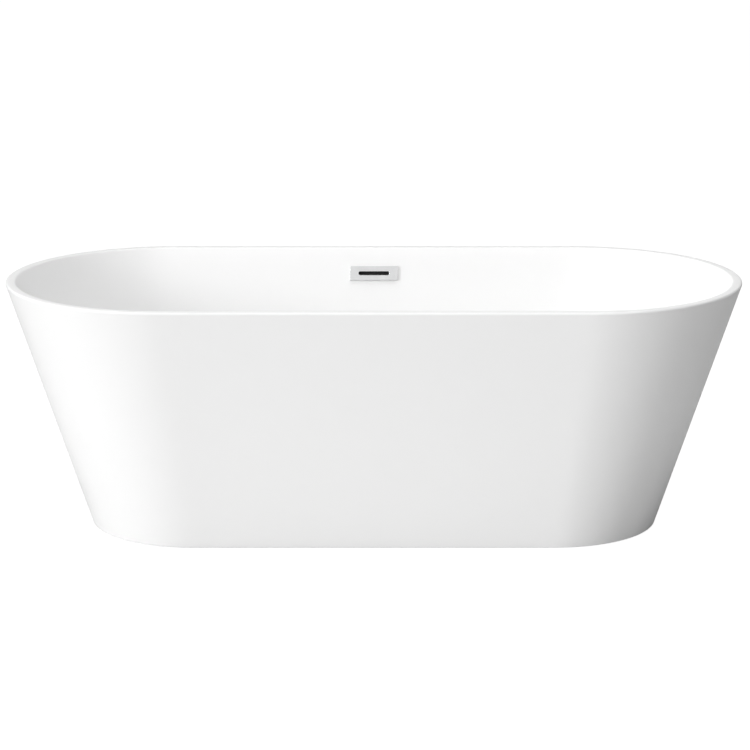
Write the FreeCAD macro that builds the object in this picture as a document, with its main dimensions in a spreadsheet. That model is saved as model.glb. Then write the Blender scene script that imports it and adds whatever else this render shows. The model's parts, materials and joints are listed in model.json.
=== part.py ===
"""Freestanding double-ended bathtub: an acrylic basin bonded into a tapered one-piece skirt, carried on a
welded steel frame with four levelling feet, with a slotted overflow and a click-clack waste.

Frame of the part: origin on the floor under the middle of the tub, +X along its length, +Y towards the long
side that carries the overflow, +Z up. Sizes are millimetres.
"""

import FreeCAD, Part
import math
import os
import re
import Sketcher

Vector = FreeCAD.Vector
Constraint = Sketcher.Constraint
ORIGIN = -1  # Sketcher's index of the sketch origin and its horizontal axis
START, END, CENTRE = 1, 2, 3

SIZES = {
    # the two outlines that set the tub's form; rounding the rim's outer edge brings it to 1700 x 750
    "rim_length": 1703.8,
    "rim_width": 752.4,
    "rim_height": 580,
    "base_length": 1320,
    "base_width": 500,
    # outer skirt
    "skirt_gap": 3,
    "skirt_wall": 6,
    "flange_width": 35,
    "flange_thickness": 6,
    "hem_radius": 3,
    # basin
    "rim_top": 23.9,
    "rim_thickness": 8,
    "rim_outer_radius": 5,
    "rim_inner_radius": 6,
    "basin_wall": 6,
    "floor_level": 150,
    "floor_fall": 5,
    "floor_inset_length": 60,
    "floor_inset_width": 40,
    "floor_radius": 90,
    "drain_dish_length": 160,
    "drain_dish_width": 90,
    "bond_depth": 16,
    # base board and steel frame
    "board_margin": 70,
    "board_thickness": 15,
    "tube": 25,
    "tube_wall": 2,
    "rail_end_inset": 80,
    "mid_bar_spacing": 320,
    "foot_inset_length": 230,
    "foot_inset_width": 80,
    "foot_to_rail": 60,
    "bar_overhang": 30,
    "bracket_thickness": 3,
    "bracket_width": 30,
    "bracket_reach": 32,
    "board_screw_inset": 42,
    "board_screw_pitch": 200,
    "board_screw_radius": 2.5,
    "board_screw_flats": 8,
    "board_screw_head": 3.5,
    "board_screw_bite": 12,
    "waste_hole_margin": 6,
    "flange_screw_inset": 9,
    "flange_screw_radius": 2,
    "flange_screw_flats": 7,
    "flange_screw_head": 3,
    "flange_screw_floor": 1,
    # levelling feet
    "foot_radius": 25,
    "foot_height": 16,
    "stem_radius": 5,
    "stem_rise": 28,
    "stem_hole_margin": 0.5,
    "stem_tip": 1,
    "stem_pin_radius": 4,
    "foot_edge": 1.5,
    "foot_rim": 5,
    "foot_neck_wall": 7,
    "foot_neck": 3,
    "nut_height": 8,
    "nut_flats": 17,
    "collar_height": 6,
    "thread_clearance": 0.05,
    "socket_clearance": 0.2,
    # overflow, in its own tilted frame on the basin wall
    "overflow_drop": 60,
    "cover_length": 115,
    "cover_width": 34.5,
    "cover_depth": 7,
    "cover_face": 2,
    "cover_wall": 2,
    "cover_edge": 0.8,
    "slot_length": 74,
    "slot_width": 8.6,
    "slot_chamfer": 1.6,
    "wall_slot_length": 98,
    "wall_slot_width": 16,
    "flow_length": 76,
    "flow_width": 14,
    "clamp_width": 29,
    "clamp_thickness": 2,
    "front_gasket": 1,
    "rear_gasket": 1.5,
    "clamp_screw_spacing": 88,
    "clamp_screw_radius": 2,
    "clamp_screw_head_radius": 3.8,
    "clamp_screw_head": 1.7,
    "clamp_hole_margin": 0.25,
    "gasket_inset": 0.5,
    "rear_gasket_inset": 2,
    "duct_length": 116,
    "duct_above": 18,
    "duct_below": 140,
    "duct_depth": 9.5,
    "duct_foot_width": 44,
    "duct_wall": 2,
    "duct_waist": 112,
    "duct_boss_wall": 2.4,
    # overflow hose
    "hose_radius": 12.5,
    "hose_bore": 10.5,
    "spigot_wall": 2,
    "spigot_length": 25,
    "hose_bend": 80,
    "clamp_band": 0.8,
    "clamp_band_width": 9,
    "clamp_housing_depth": 7,
    "clamp_housing_rise": 9,
    # waste
    "drain_hole_radius": 25,
    "flange_radius": 35,
    "flange_disc": 2.5,
    "flange_recess": 2.5,
    "flange_edge": 0.8,
    "flange_bevel": 1.5,
    "seal_thickness": 1,
    "hub_radius": 23,
    "hub_bore": 19.5,
    "hub_length": 38,
    "bridge_height": 6,
    "bridge_arm": 4,
    "bridge_boss_wall": 3,
    "seal_inset": 1,
    "lower_seal": 3,
    "body_flange_radius": 38,
    "body_flange": 5,
    "body_radius": 29,
    "port_drop": 56,
    "port_reach": 60,
    "neck_radius": 24,
    "neck_bore": 17,
    "body_depth": 76,
    "neck_length": 12,
    "tail_washer": 1.5,
    "tail_flange": 3,
    "tail_radius": 19.05,
    "tail_wall": 1.5,
    "tail_bottom": 12,
    "tail_nut_radius": 29,
    "tail_nut_lip": 3.5,
    "tail_nut_bore": 20.15,
    "tail_nut_edge": 1,
    "tail_nut_drop": 1.5,
    "tail_collar": 1,
    "tail_collar_drop": 2,
    "grip_radius": 2.5,
    "grip_offset": 0.8,
    "grip_length": 15,
    # click-clack plug
    "plug_travel": 8,
    "plug_radius": 31,
    "plug_disc": 4,
    "plug_seal_radius": 19.2,
    "stem_rod": 3,
    "cartridge_radius": 6,
    "cartridge_bore": 4.5,
    "plug_seal_thickness": 3.5,
    "plug_boss": 8,
    "plug_boss_wall": 3,
    "plug_edge": 0.6,
    "plug_shoulder": 3,
    "cartridge_above": 16.5,
    "cartridge_below": 21.5,
    "cartridge_lid": 2,
    "cartridge_collar": 1.5,
    "cartridge_collar_height": 3,
    "spring_wire": 0.4,
    "spring_turns": 9,
    "rest_gap": 0.3,
}

# Lengths that several pieces share, written from the sizes above.
LIP_UNDERSIDE = "(rim_height - rim_thickness)"
CAVITY_LENGTH = "(rim_length - 2*rim_top)"
CAVITY_WIDTH = "(rim_width - 2*rim_top)"
FLOOR_LENGTH = "(base_length - 2*floor_inset_length)"
FLOOR_WIDTH = "(base_width - 2*floor_inset_width)"
WALL_SLOPE = f"(({CAVITY_WIDTH} - {FLOOR_WIDTH})/2/(rim_height - floor_level))"
SKIRT_SLOPE = "((rim_width - base_width)/2/rim_height)"
DRAIN_LEVEL = "(floor_level - floor_fall)"
BASIN_UNDERSIDE = f"({DRAIN_LEVEL} - basin_wall)"

BOARD_UNDERSIDE = f"({BASIN_UNDERSIDE} - board_thickness)"
BOARD_LENGTH = f"({FLOOR_LENGTH} - 2*board_margin)"
BOARD_WIDTH = f"({FLOOR_WIDTH} - 2*board_margin)"
FLANGE_TOP = "(skirt_gap + flange_thickness)"
RAIL_UNDERSIDE = f"({BOARD_UNDERSIDE} - tube)"
BAR_UNDERSIDE = f"({RAIL_UNDERSIDE} - tube)"
FOOT_X = "(base_length/2 - foot_inset_length)"
FOOT_Y = "(base_width/2 - foot_inset_width)"
RAIL_Y = f"({FOOT_Y} - foot_to_rail)"
RAIL_END = "(base_length/2 - rail_end_inset)"
BAR_END = f"({FOOT_Y} + bar_overhang)"

OVERFLOW_Z = "(rim_height - overflow_drop)"
OVERFLOW_Y = f"({CAVITY_WIDTH}/2 - {WALL_SLOPE}*overflow_drop)"
CLAMP_LENGTH = "(cover_length - 2*cover_wall)"
DUCT_FRONT = f"(basin_wall*cos(atan({WALL_SLOPE})) + rear_gasket)"
DUCT_TAPER = f"tan(atan({WALL_SLOPE}) - atan({SKIRT_SLOPE}))"
DUCT_FOOT_DEPTH = f"(duct_depth + (duct_above + duct_below)*{DUCT_TAPER})"
SPIGOT_DEPTH = f"({DUCT_FRONT} + {DUCT_FOOT_DEPTH}/2)"

RECESS_LEVEL = f"({DRAIN_LEVEL} - flange_recess)"
DISC_UNDERSIDE = f"({RECESS_LEVEL} + seal_thickness)"
DISC_TOP = f"({DISC_UNDERSIDE} + flange_disc)"
HUB_BOTTOM = f"({DISC_UNDERSIDE} - hub_length)"
BODY_TOP = f"({BASIN_UNDERSIDE} - lower_seal)"
PORT_Z = f"({BODY_TOP} - port_drop)"
NECK_TOP = f"({BODY_TOP} - body_depth)"
NECK_BOTTOM = f"({NECK_TOP} - neck_length)"
TAIL_TOP = f"({NECK_BOTTOM} - tail_washer)"
TAIL_SHOULDER = f"({TAIL_TOP} - tail_flange)"
TAIL_LIP = f"({TAIL_SHOULDER} - tail_nut_lip)"
PLUG_UNDERSIDE = f"({DISC_TOP} + rest_gap + plug_travel)"
CARTRIDGE_TOP = f"({HUB_BOTTOM} + cartridge_above)"
CARTRIDGE_BOTTOM = f"({HUB_BOTTOM} - cartridge_below)"
STEM_COLLAR = f"({CARTRIDGE_TOP} - cartridge_lid - rest_gap - cartridge_collar_height)"

doc = FreeCAD.newDocument("freestanding_bathtub")
sheet = doc.addObject("Spreadsheet::Sheet", "sizes")


def fill_sheet():
    """Writes each driving size to its own row, with its name as the cell's alias."""
    for row, (name, size) in enumerate(SIZES.items(), start=1):
        sheet.set(f"A{row}", name)
        sheet.set(f"B{row}", str(size))
        sheet.setAlias(f"B{row}", name)
    doc.recompute()


def bound(text):
    """The text as a FreeCAD expression, with each size read from the sheet."""
    return re.sub(r"[a-z][a-z_]*", lambda m: "sizes." + m[0] if m[0] in SIZES else m[0], text)


def value(text):
    """The number that an expression gives now."""
    number = sheet.evalExpression(bound(text))
    return float(getattr(number, "Value", number))


# ---------------------------------------------------------------- bodies, sketches and features


def new_body(label):
    """A body whose label names its file."""
    body = doc.addObject("PartDesign::Body", label)
    body.Label = label
    body.AllowCompound = True
    return body


def place(body, x="0", y="0", z="0"):
    """Moves a body to a point that follows the sheet."""
    for axis, text in zip("xyz", (x, y, z)):
        body.setExpression(f"Placement.Base.{axis}", bound(text))


def place_on_wall(body):
    """Puts a body's XY plane on the basin's long back wall, +Z into the basin and +Y up the slope."""
    body.Placement = FreeCAD.Placement(Vector(), FreeCAD.Rotation(Vector(1, 0, 0), 70))
    place(body, y=OVERFLOW_Y, z=OVERFLOW_Z)
    body.setExpression("Placement.Rotation.Angle", bound(f"90 deg - atan({WALL_SLOPE})"))


def new_sketch(body, name, role="XY_Plane", height="0"):
    """A sketch on one of the body's origin planes, raised along that plane's normal."""
    sketch = body.newObject("Sketcher::SketchObject", name)
    plane = next(f for f in body.Origin.OriginFeatures if f.Role == role)
    sketch.AttachmentSupport = [(plane, "")]
    sketch.MapMode = "FlatFace"
    sketch.setExpression("AttachmentOffset.Base.z", bound(height))
    return sketch


def fix(sketch, text, kind, *where):
    """A constraint whose value is an expression on the sheet."""
    index = sketch.addConstraint(Constraint(kind, *where, value(text)))
    name = f"size_{index}"
    sketch.renameConstraint(index, name)
    sketch.setExpression(f"Constraints.{name}", bound(text))


def fix_point(sketch, geometry, point, x, y):
    """Fixes a point of the sketch at two expressions."""
    fix(sketch, x, "DistanceX", ORIGIN, START, geometry, point)
    fix(sketch, y, "DistanceY", ORIGIN, START, geometry, point)


def draw_stadium(sketch, length, width, x="0", y="0"):
    """Two straight sides with a half circle at each end."""
    radius = value(width) / 2
    half = value(length) / 2 - radius
    at = Vector(value(x), value(y), 0)
    up = Vector(0, 0, 1)
    right = Part.Circle(at + Vector(half, 0, 0), up, radius)
    left = Part.Circle(at - Vector(half, 0, 0), up, radius)
    quarter = math.pi / 2
    shapes = [
        Part.LineSegment(at + Vector(-half, -radius, 0), at + Vector(half, -radius, 0)),
        Part.ArcOfCircle(right, -quarter, quarter),
        Part.LineSegment(at + Vector(half, radius, 0), at + Vector(-half, radius, 0)),
        Part.ArcOfCircle(left, quarter, 3 * quarter),
    ]
    bottom, right_arc, top, left_arc = sketch.addGeometry(shapes, False)
    sketch.addConstraint(
        [
            Constraint("Tangent", bottom, END, right_arc, START),
            Constraint("Tangent", right_arc, END, top, START),
            Constraint("Tangent", top, END, left_arc, START),
            Constraint("Tangent", left_arc, END, bottom, START),
            Constraint("Equal", right_arc, left_arc),
        ]
    )
    fix(sketch, f"({width})/2", "Radius", right_arc)
    fix_point(sketch, right_arc, CENTRE, f"{x} + (({length}) - ({width}))/2", y)
    fix_point(sketch, left_arc, CENTRE, f"{x} - (({length}) - ({width}))/2", y)


def draw_circle(sketch, radius, x="0", y="0"):
    """A circle about a point."""
    circle = Part.Circle(Vector(value(x), value(y), 0), Vector(0, 0, 1), value(radius))
    index = sketch.addGeometry(circle, False)
    fix(sketch, radius, "Radius", index)
    fix_point(sketch, index, CENTRE, x, y)


def draw_polygon(sketch, points):
    """A closed outline through points given as pairs of expressions."""
    corners = [Vector(value(x), value(y), 0) for x, y in points]
    lines = [
        sketch.addGeometry(Part.LineSegment(a, b), False)
        for a, b in zip(corners, corners[1:] + corners[:1])
    ]
    for line, after in zip(lines, lines[1:] + lines[:1]):
        sketch.addConstraint(Constraint("Coincident", line, END, after, START))
    for line, (x, y) in zip(lines, points):
        fix_point(sketch, line, START, x, y)


def draw_rectangle(sketch, length, width, x="0", y="0"):
    """A rectangle about a point."""
    draw_polygon(
        sketch,
        [
            (f"{x} {side}({length})/2", f"{y} {end}({width})/2")
            for side, end in (("-", "-"), ("+", "-"), ("+", "+"), ("-", "+"))
        ],
    )


def draw_hexagon(sketch, flats, x="0", y="0"):
    """A hexagon of that size across its flats."""
    draw_polygon(
        sketch,
        [
            (f"{x} + {flats}/sqrt(3)*cos({60 * k} deg)", f"{y} + {flats}/sqrt(3)*sin({60 * k} deg)")
            for k in range(6)
        ],
    )


def pad(body, name, sketch, length, both_ways=False):
    """Adds a straight extrusion of the sketch."""
    feature = body.newObject("PartDesign::Pad", name)
    feature.Profile = sketch
    feature.setExpression("Length", bound(length))
    feature.Midplane = both_ways
    return feature


def pocket(body, name, sketch, length, upwards=False, both_ways=False):
    """Cuts a straight extrusion of the sketch, and stops if it cut nothing."""
    doc.recompute()
    before = body.Shape.Volume
    feature = body.newObject("PartDesign::Pocket", name)
    feature.Profile = sketch
    feature.setExpression("Length", bound(length))
    feature.Reversed = upwards
    feature.Midplane = both_ways
    doc.recompute()
    if body.Shape.Volume > before - 1e-6:
        raise RuntimeError(f"{name} of {body.Label} cut nothing")
    return feature


def loft(body, name, low, high, cut=False):
    """Adds or cuts the ruled solid between two sketches, from the high one so that its faces point outward."""
    kind = "PartDesign::SubtractiveLoft" if cut else "PartDesign::AdditiveLoft"
    feature = body.newObject(kind, name)
    feature.Profile = high
    feature.Sections = [low]
    feature.Ruled = True
    doc.recompute()
    return feature


def turned(body, name, profile, cut=False):
    """Adds or cuts a solid turned about Z, from points (radius, height)."""
    sketch = new_sketch(body, f"{name}_profile", "XZ_Plane")
    draw_polygon(sketch, profile)
    feature = body.newObject("PartDesign::Groove" if cut else "PartDesign::Revolution", name)
    feature.Profile = sketch
    feature.ReferenceAxis = (sketch, ["V_Axis"])
    feature.Angle = 360
    return feature


def level_loop(body, height, innermost=False):
    """Names of the edges in the body's outermost, or innermost, level closed loop at that height."""
    doc.recompute()
    edges = body.Tip.Shape.Edges
    level = value(height)
    flat = []
    for edge in edges:
        middle = (edge.FirstParameter + edge.LastParameter) / 2
        points = [edge.valueAt(p) for p in (edge.FirstParameter, middle, edge.LastParameter)]
        if all(abs(point.z - level) < 1e-4 for point in points):
            flat.append(edge)
    loops = sorted(Part.sortEdges(flat), key=lambda loop: sum(edge.Length for edge in loop))
    if not loops:
        return []
    chosen = loops[0] if innermost else loops[-1]
    numbered = enumerate(edges, start=1)
    return [f"Edge{n}" for n, edge in numbered if any(edge.isSame(other) for other in chosen)]


def round_edges(body, name, edges, radius):
    """Fillets the named edges of the body's last feature."""
    if not edges:
        raise RuntimeError(f"{name} of {body.Label} found no edge")
    last = body.Tip
    feature = body.newObject("PartDesign::Fillet", name)
    feature.Base = (last, edges)
    feature.setExpression("Radius", bound(radius))
    doc.recompute()
    if feature.Shape.isNull() or not feature.Shape.isValid():
        raise RuntimeError(f"{name} of {body.Label} failed")
    return feature


# ---------------------------------------------------------------- outlines that several pieces share


def skirt_outline(body, name, height, inset="0"):
    """The skirt's outline at a height, set in from its outer face."""
    sketch = new_sketch(body, name, height=height)
    length, width = (
        f"base_{way} + (rim_{way} - base_{way})*({height})/rim_height - 2*({inset})"
        for way in ("length", "width")
    )
    draw_stadium(sketch, length, width)
    return sketch


def cavity_outline(body, name, height, grow="0"):
    """The basin's inner outline at a height, grown outwards."""
    sketch = new_sketch(body, name, height=height)
    rise = f"(({height}) - floor_level)/(rim_height - floor_level)"
    length = f"{FLOOR_LENGTH} + ({CAVITY_LENGTH} - {FLOOR_LENGTH})*{rise} + 2*({grow})"
    width = f"{FLOOR_WIDTH} + ({CAVITY_WIDTH} - {FLOOR_WIDTH})*{rise} + 2*({grow})"
    draw_stadium(sketch, length, width)
    return sketch


def wall_sketch(body, name):
    """A sketch in the plane of the basin's long back wall, centred on the overflow."""
    sketch = new_sketch(body, name)
    sketch.AttachmentOffset = FreeCAD.Placement(Vector(), FreeCAD.Rotation(Vector(1, 0, 0), 70))
    sketch.setExpression("AttachmentOffset.Base.y", bound(OVERFLOW_Y))
    sketch.setExpression("AttachmentOffset.Base.z", bound(OVERFLOW_Z))
    sketch.setExpression("AttachmentOffset.Rotation.Angle", bound(f"90 deg - atan({WALL_SLOPE})"))
    return sketch


# ---------------------------------------------------------------- shells


def basin_shell():
    """The basin with its floor, its fall to the waste, its rim and its holes."""
    body = new_body("basin_shell")
    low = cavity_outline(body, "bowl_low", BASIN_UNDERSIDE, "basin_wall")
    high = cavity_outline(body, "bowl_high", f"{LIP_UNDERSIDE} + rim_thickness/2", "basin_wall")
    loft(body, "bowl", low, high)
    low = skirt_outline(body, "lip_low", LIP_UNDERSIDE)
    high = skirt_outline(body, "lip_high", "rim_height")
    loft(body, "lip", low, high)
    low = cavity_outline(body, "cavity_low", "floor_level")
    high = cavity_outline(body, "cavity_high", "rim_height")
    loft(body, "cavity", low, high, cut=True)
    dish = new_sketch(body, "dish_low", height=DRAIN_LEVEL)
    draw_stadium(dish, "drain_dish_length", "drain_dish_width")
    edge = cavity_outline(body, "dish_high", "floor_level")
    loft(body, "floor_slope", dish, edge, cut=True)
    round_edges(body, "cavity_round", level_loop(body, "floor_level"), "floor_radius")
    round_edges(body, "bowl_round", level_loop(body, BASIN_UNDERSIDE), "floor_radius + basin_wall")
    round_edges(body, "rim_inner", level_loop(body, "rim_height", True), "rim_inner_radius")
    round_edges(body, "rim_outer", level_loop(body, "rim_height"), "rim_outer_radius")
    recess = new_sketch(body, "recess", height=RECESS_LEVEL)
    draw_circle(recess, "flange_radius + rest_gap")
    pocket(body, "drain_recess", recess, "floor_fall", upwards=True)
    hole = new_sketch(body, "hole", height=RECESS_LEVEL)
    draw_circle(hole, "drain_hole_radius")
    pocket(body, "drain_hole", hole, "2*basin_wall")
    slot = wall_sketch(body, "slot")
    draw_stadium(slot, "wall_slot_length", "wall_slot_width")
    pocket(body, "overflow_hole", slot, "4*basin_wall", both_ways=True)


def outer_skirt():
    """The tapered apron, with a flange turned in at its foot."""
    body = new_body("outer_skirt")
    low = skirt_outline(body, "outer_low", "skirt_gap")
    high = skirt_outline(body, "outer_high", LIP_UNDERSIDE)
    loft(body, "outer", low, high)
    round_edges(body, "hem", level_loop(body, "skirt_gap"), "hem_radius")
    low = skirt_outline(body, "inner_low", FLANGE_TOP, "skirt_wall")
    high = skirt_outline(body, "inner_high", LIP_UNDERSIDE, "skirt_wall")
    loft(body, "inner", low, high, cut=True)
    opening = skirt_outline(body, "opening", FLANGE_TOP, "skirt_wall + flange_width")
    pocket(body, "base_opening", opening, "flange_thickness")
    pilots = new_sketch(body, "pilots", height=FLANGE_TOP)
    for place_group in flange_screw_places():
        for x, y in place_group:
            draw_circle(pilots, "flange_screw_radius", x, y)
    pocket(body, "screw_pilots", pilots, "flange_thickness - flange_screw_floor")


def rim_bond_strip():
    """The resin bond that fills the gap between basin and skirt under the rim."""
    body = new_body("rim_bond_strip")
    bottom = f"({LIP_UNDERSIDE} - bond_depth)"
    low = skirt_outline(body, "outer_low", bottom, "skirt_wall")
    high = skirt_outline(body, "outer_high", LIP_UNDERSIDE, "skirt_wall")
    loft(body, "strip", low, high)
    low = cavity_outline(body, "inner_low", bottom, "basin_wall")
    high = cavity_outline(body, "inner_high", LIP_UNDERSIDE, "basin_wall")
    loft(body, "inside", low, high, cut=True)


# ---------------------------------------------------------------- base board and steel frame


def corners(x, y):
    """The four points at plus and minus x and y, as pairs of expressions."""
    return [(f"{side}{x}", f"{row}{y}") for side in ("-", "") for row in ("-", "")]


def board_screw_places():
    """Where screws go up through the rails into the board, as pairs of expressions."""
    far = f"({BOARD_LENGTH}/2 - board_screw_inset)"
    return corners(far, RAIL_Y) + corners(f"({far} - board_screw_pitch)", RAIL_Y)


def flange_screw_places():
    """Where screws hold the brackets' feet to the skirt's flange: the long sides, then the ends."""
    reach = "bracket_reach - flange_screw_inset"
    return corners(FOOT_X, f"({BAR_END} + {reach})"), corners(f"({RAIL_END} + {reach})", RAIL_Y)


def base_board():
    """The board laminated under the basin's floor."""
    body = new_body("base_board")
    outline = new_sketch(body, "outline", height=BOARD_UNDERSIDE)
    draw_stadium(outline, BOARD_LENGTH, BOARD_WIDTH)
    pad(body, "board", outline, "board_thickness")
    hole = new_sketch(body, "waste", height=BASIN_UNDERSIDE)
    draw_circle(hole, "body_flange_radius + waste_hole_margin")
    pocket(body, "waste_hole", hole, "board_thickness")
    pilots = new_sketch(body, "pilots", height=BOARD_UNDERSIDE)
    for x, y in board_screw_places():
        draw_circle(pilots, "board_screw_radius", x, y)
    pocket(body, "screw_holes", pilots, "board_screw_bite", upwards=True)


def frame_rail(label, row):
    """A square tube along the tub, drilled for the board screws."""
    body = new_body(label)
    section = new_sketch(body, "section", "YZ_Plane", f"-{RAIL_END}")
    middle = f"({RAIL_UNDERSIDE} + tube/2)"
    draw_rectangle(section, "tube", "tube", f"{row}{RAIL_Y}", middle)
    draw_rectangle(section, "tube - 2*tube_wall", "tube - 2*tube_wall", f"{row}{RAIL_Y}", middle)
    pad(body, "rail", section, f"2*{RAIL_END}")
    holes = new_sketch(body, "holes", height=RAIL_UNDERSIDE)
    for x, y in board_screw_places():
        if y.startswith("-") == (row == "-"):
            draw_circle(holes, "board_screw_radius + thread_clearance", x, y)
    pocket(body, "screw_holes", holes, "tube", upwards=True)


def crossbar(label, x, half_length, with_feet):
    """A square tube across the tub under the rails, drilled for two feet where it carries them."""
    body = new_body(label)
    section = new_sketch(body, "section", "XZ_Plane", f"-{half_length}")
    middle = f"({BAR_UNDERSIDE} + tube/2)"
    draw_rectangle(section, "tube", "tube", x, middle)
    draw_rectangle(section, "tube - 2*tube_wall", "tube - 2*tube_wall", x, middle)
    pad(body, "bar", section, f"2*{half_length}")
    if with_feet:
        holes = new_sketch(body, "holes", height=BAR_UNDERSIDE)
        for row in ("-", ""):
            draw_circle(holes, "stem_radius + stem_hole_margin", x, f"{row}{FOOT_Y}")
        pocket(body, "foot_holes", holes, "tube", upwards=True)


def board_screws():
    """Hexagon-head screws from under the rails into the board, as one group."""
    body = new_body("board_screws")
    heads = new_sketch(body, "heads", height=RAIL_UNDERSIDE)
    for x, y in board_screw_places():
        draw_hexagon(heads, "board_screw_flats", x, y)
    pad(body, "head", heads, "board_screw_head").Reversed = True
    shanks = new_sketch(body, "shanks", height=RAIL_UNDERSIDE)
    for x, y in board_screw_places():
        draw_circle(shanks, "board_screw_radius", x, y)
    pad(body, "shank", shanks, "tube + board_screw_bite - rest_gap")


def brackets(label, role, reach, across, top, screws):
    """Four angle brackets from the frame's tubes down to the skirt's flange, as one group."""
    body = new_body(label)
    foot_top = f"({FLANGE_TOP} + bracket_thickness)"
    for number, (along, side) in enumerate(corners(across, "")):
        sketch = new_sketch(body, f"angle_{number}", role, f"{along} - bracket_width/2")
        sign = f"{side}1"
        outline = [
            (reach, FLANGE_TOP),
            (f"({reach} + bracket_reach)", FLANGE_TOP),
            (f"({reach} + bracket_reach)", foot_top),
            (f"({reach} + bracket_thickness)", foot_top),
            (f"({reach} + bracket_thickness)", top),
            (reach, top),
        ]
        draw_polygon(sketch, [(f"{sign}*{x}", z) for x, z in outline])
        pad(body, f"bracket_{number}", sketch, "bracket_width")
    holes = new_sketch(body, "holes", height=FLANGE_TOP)
    for x, y in screws:
        draw_circle(holes, "flange_screw_radius + rest_gap", x, y)
    pocket(body, "screw_holes", holes, "bracket_thickness", upwards=True)


def skirt_brackets():
    """The brackets at the long sides and at the ends, and their screws."""
    long_sides, ends = flange_screw_places()
    top = f"({BAR_UNDERSIDE} + tube - 2)"
    brackets("side_brackets", "YZ_Plane", BAR_END, FOOT_X, top, long_sides)
    top = f"({RAIL_UNDERSIDE} + tube - 2)"
    brackets("end_brackets", "XZ_Plane", RAIL_END, RAIL_Y, top, ends)
    body = new_body("flange_screws")
    seat = f"({FLANGE_TOP} + bracket_thickness)"
    heads = new_sketch(body, "heads", height=seat)
    shanks = new_sketch(body, "shanks", height=seat)
    for x, y in long_sides + ends:
        draw_hexagon(heads, "flange_screw_flats", x, y)
        draw_circle(shanks, "flange_screw_radius", x, y)
    pad(body, "head", heads, "flange_screw_head")
    depth = "bracket_thickness + flange_thickness - flange_screw_floor - rest_gap"
    pad(body, "shank", shanks, depth).Reversed = True


# ---------------------------------------------------------------- levelling feet


def nut_group(label, height):
    """Four nuts on the feet's stems, as one group."""
    body = new_body(label)
    sketch = new_sketch(body, "nuts", height=height)
    for x, y in corners(FOOT_X, FOOT_Y):
        draw_hexagon(sketch, "nut_flats", x, y)
        draw_circle(sketch, "stem_radius + thread_clearance", x, y)
    pad(body, "nut", sketch, "nut_height")


def levelling_foot(name, at):
    """A foot's pad, and the threaded stem that turns in it."""
    socket = "(stem_pin_radius + socket_clearance)"
    body = new_body(f"foot_pad_{name}")
    place(body, *at)
    turned(
        body,
        "pad",
        [
            ("0", "0"),
            ("foot_radius - foot_edge", "0"),
            ("foot_radius", "foot_edge"),
            ("foot_radius", "foot_rim"),
            ("stem_pin_radius + foot_neck_wall", "foot_height - foot_neck"),
            ("stem_pin_radius + foot_neck_wall", "foot_height"),
            (socket, "foot_height"),
            (socket, "foot_height/2"),
            ("0", "foot_height/2"),
        ],
    )
    body = new_body(f"foot_stem_{name}")
    place(body, *at)
    top = f"({RAIL_UNDERSIDE} + stem_rise)"
    collar = "(foot_height + socket_clearance)"
    turned(
        body,
        "stem",
        [
            ("0", "foot_height/2 + socket_clearance"),
            ("stem_pin_radius", "foot_height/2 + socket_clearance"),
            ("stem_pin_radius", f"{collar} + collar_height/2"),
            ("stem_radius", f"{collar} + collar_height/2"),
            ("stem_radius", f"{top} - stem_tip"),
            ("stem_radius - stem_tip", top),
            ("0", top),
        ],
    )
    hexagon = new_sketch(body, "flats", height=collar)
    draw_hexagon(hexagon, "nut_flats")
    pad(body, "collar", hexagon, "collar_height")


# ---------------------------------------------------------------- overflow


def overflow_cover():
    """The face plate with its chamfered slot, hollow behind so that it clips over the clamp plate."""
    body = new_body("overflow_cover")
    place_on_wall(body)
    outline = new_sketch(body, "outline", height="0")
    draw_rectangle(outline, "cover_length", "cover_width")
    pad(body, "block", outline, "cover_depth")
    doc.recompute()
    round_edges(body, "face_round", level_loop(body, "cover_depth"), "cover_edge")
    hollow = new_sketch(body, "hollow", height="0")
    draw_rectangle(hollow, CLAMP_LENGTH, "cover_width - 2*cover_wall")
    pocket(body, "back_hollow", hollow, "cover_depth - cover_face", upwards=True)
    slot = new_sketch(body, "slot", height="cover_depth")
    draw_stadium(slot, "slot_length", "slot_width")
    pocket(body, "slot_cut", slot, "2*cover_face")
    wide = new_sketch(body, "chamfer_top", height="cover_depth")
    draw_stadium(wide, "slot_length + 2*slot_chamfer", "slot_width + 2*slot_chamfer")
    narrow = new_sketch(body, "chamfer_foot", height="cover_depth - slot_chamfer")
    draw_stadium(narrow, "slot_length", "slot_width")
    loft(body, "slot_chamfer", narrow, wide, cut=True)


def flat_ring(label, height, thickness, length, width, holes):
    """A flat plate or gasket on the wall, with the slots and holes that it is given as drawing calls."""
    body = new_body(label)
    place_on_wall(body)
    sketch = new_sketch(body, "outline", height=height)
    draw_rectangle(sketch, length, width)
    for draw, *sizes in holes:
        draw(sketch, *sizes)
    pad(body, "plate", sketch, thickness)


def clamp_holes(radius):
    """The two clamp screws' holes, as drawing calls."""
    return [(draw_circle, radius, f"{side}clamp_screw_spacing/2") for side in ("-", "")]


def overflow_plates():
    """The clamp plate and the two gaskets that grip the basin's wall."""
    wall_slot = (draw_stadium, "wall_slot_length", "wall_slot_width")
    size = (f"{CLAMP_LENGTH} - 2*gasket_inset", "clamp_width")
    flat_ring("overflow_front_gasket", "0", "front_gasket", *size, [wall_slot])
    flow = (draw_stadium, "flow_length", "flow_width")
    holes = [flow] + clamp_holes("clamp_screw_radius + clamp_hole_margin")
    level, depth = "front_gasket", "clamp_thickness"
    flat_ring("overflow_clamp_plate", level, depth, CLAMP_LENGTH, "clamp_width", holes)
    under = f"-{DUCT_FRONT}"
    size = ("duct_length", "2*(duct_above - rear_gasket_inset)")
    flat_ring("overflow_rear_gasket", under, "rear_gasket", *size, [wall_slot])


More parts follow.
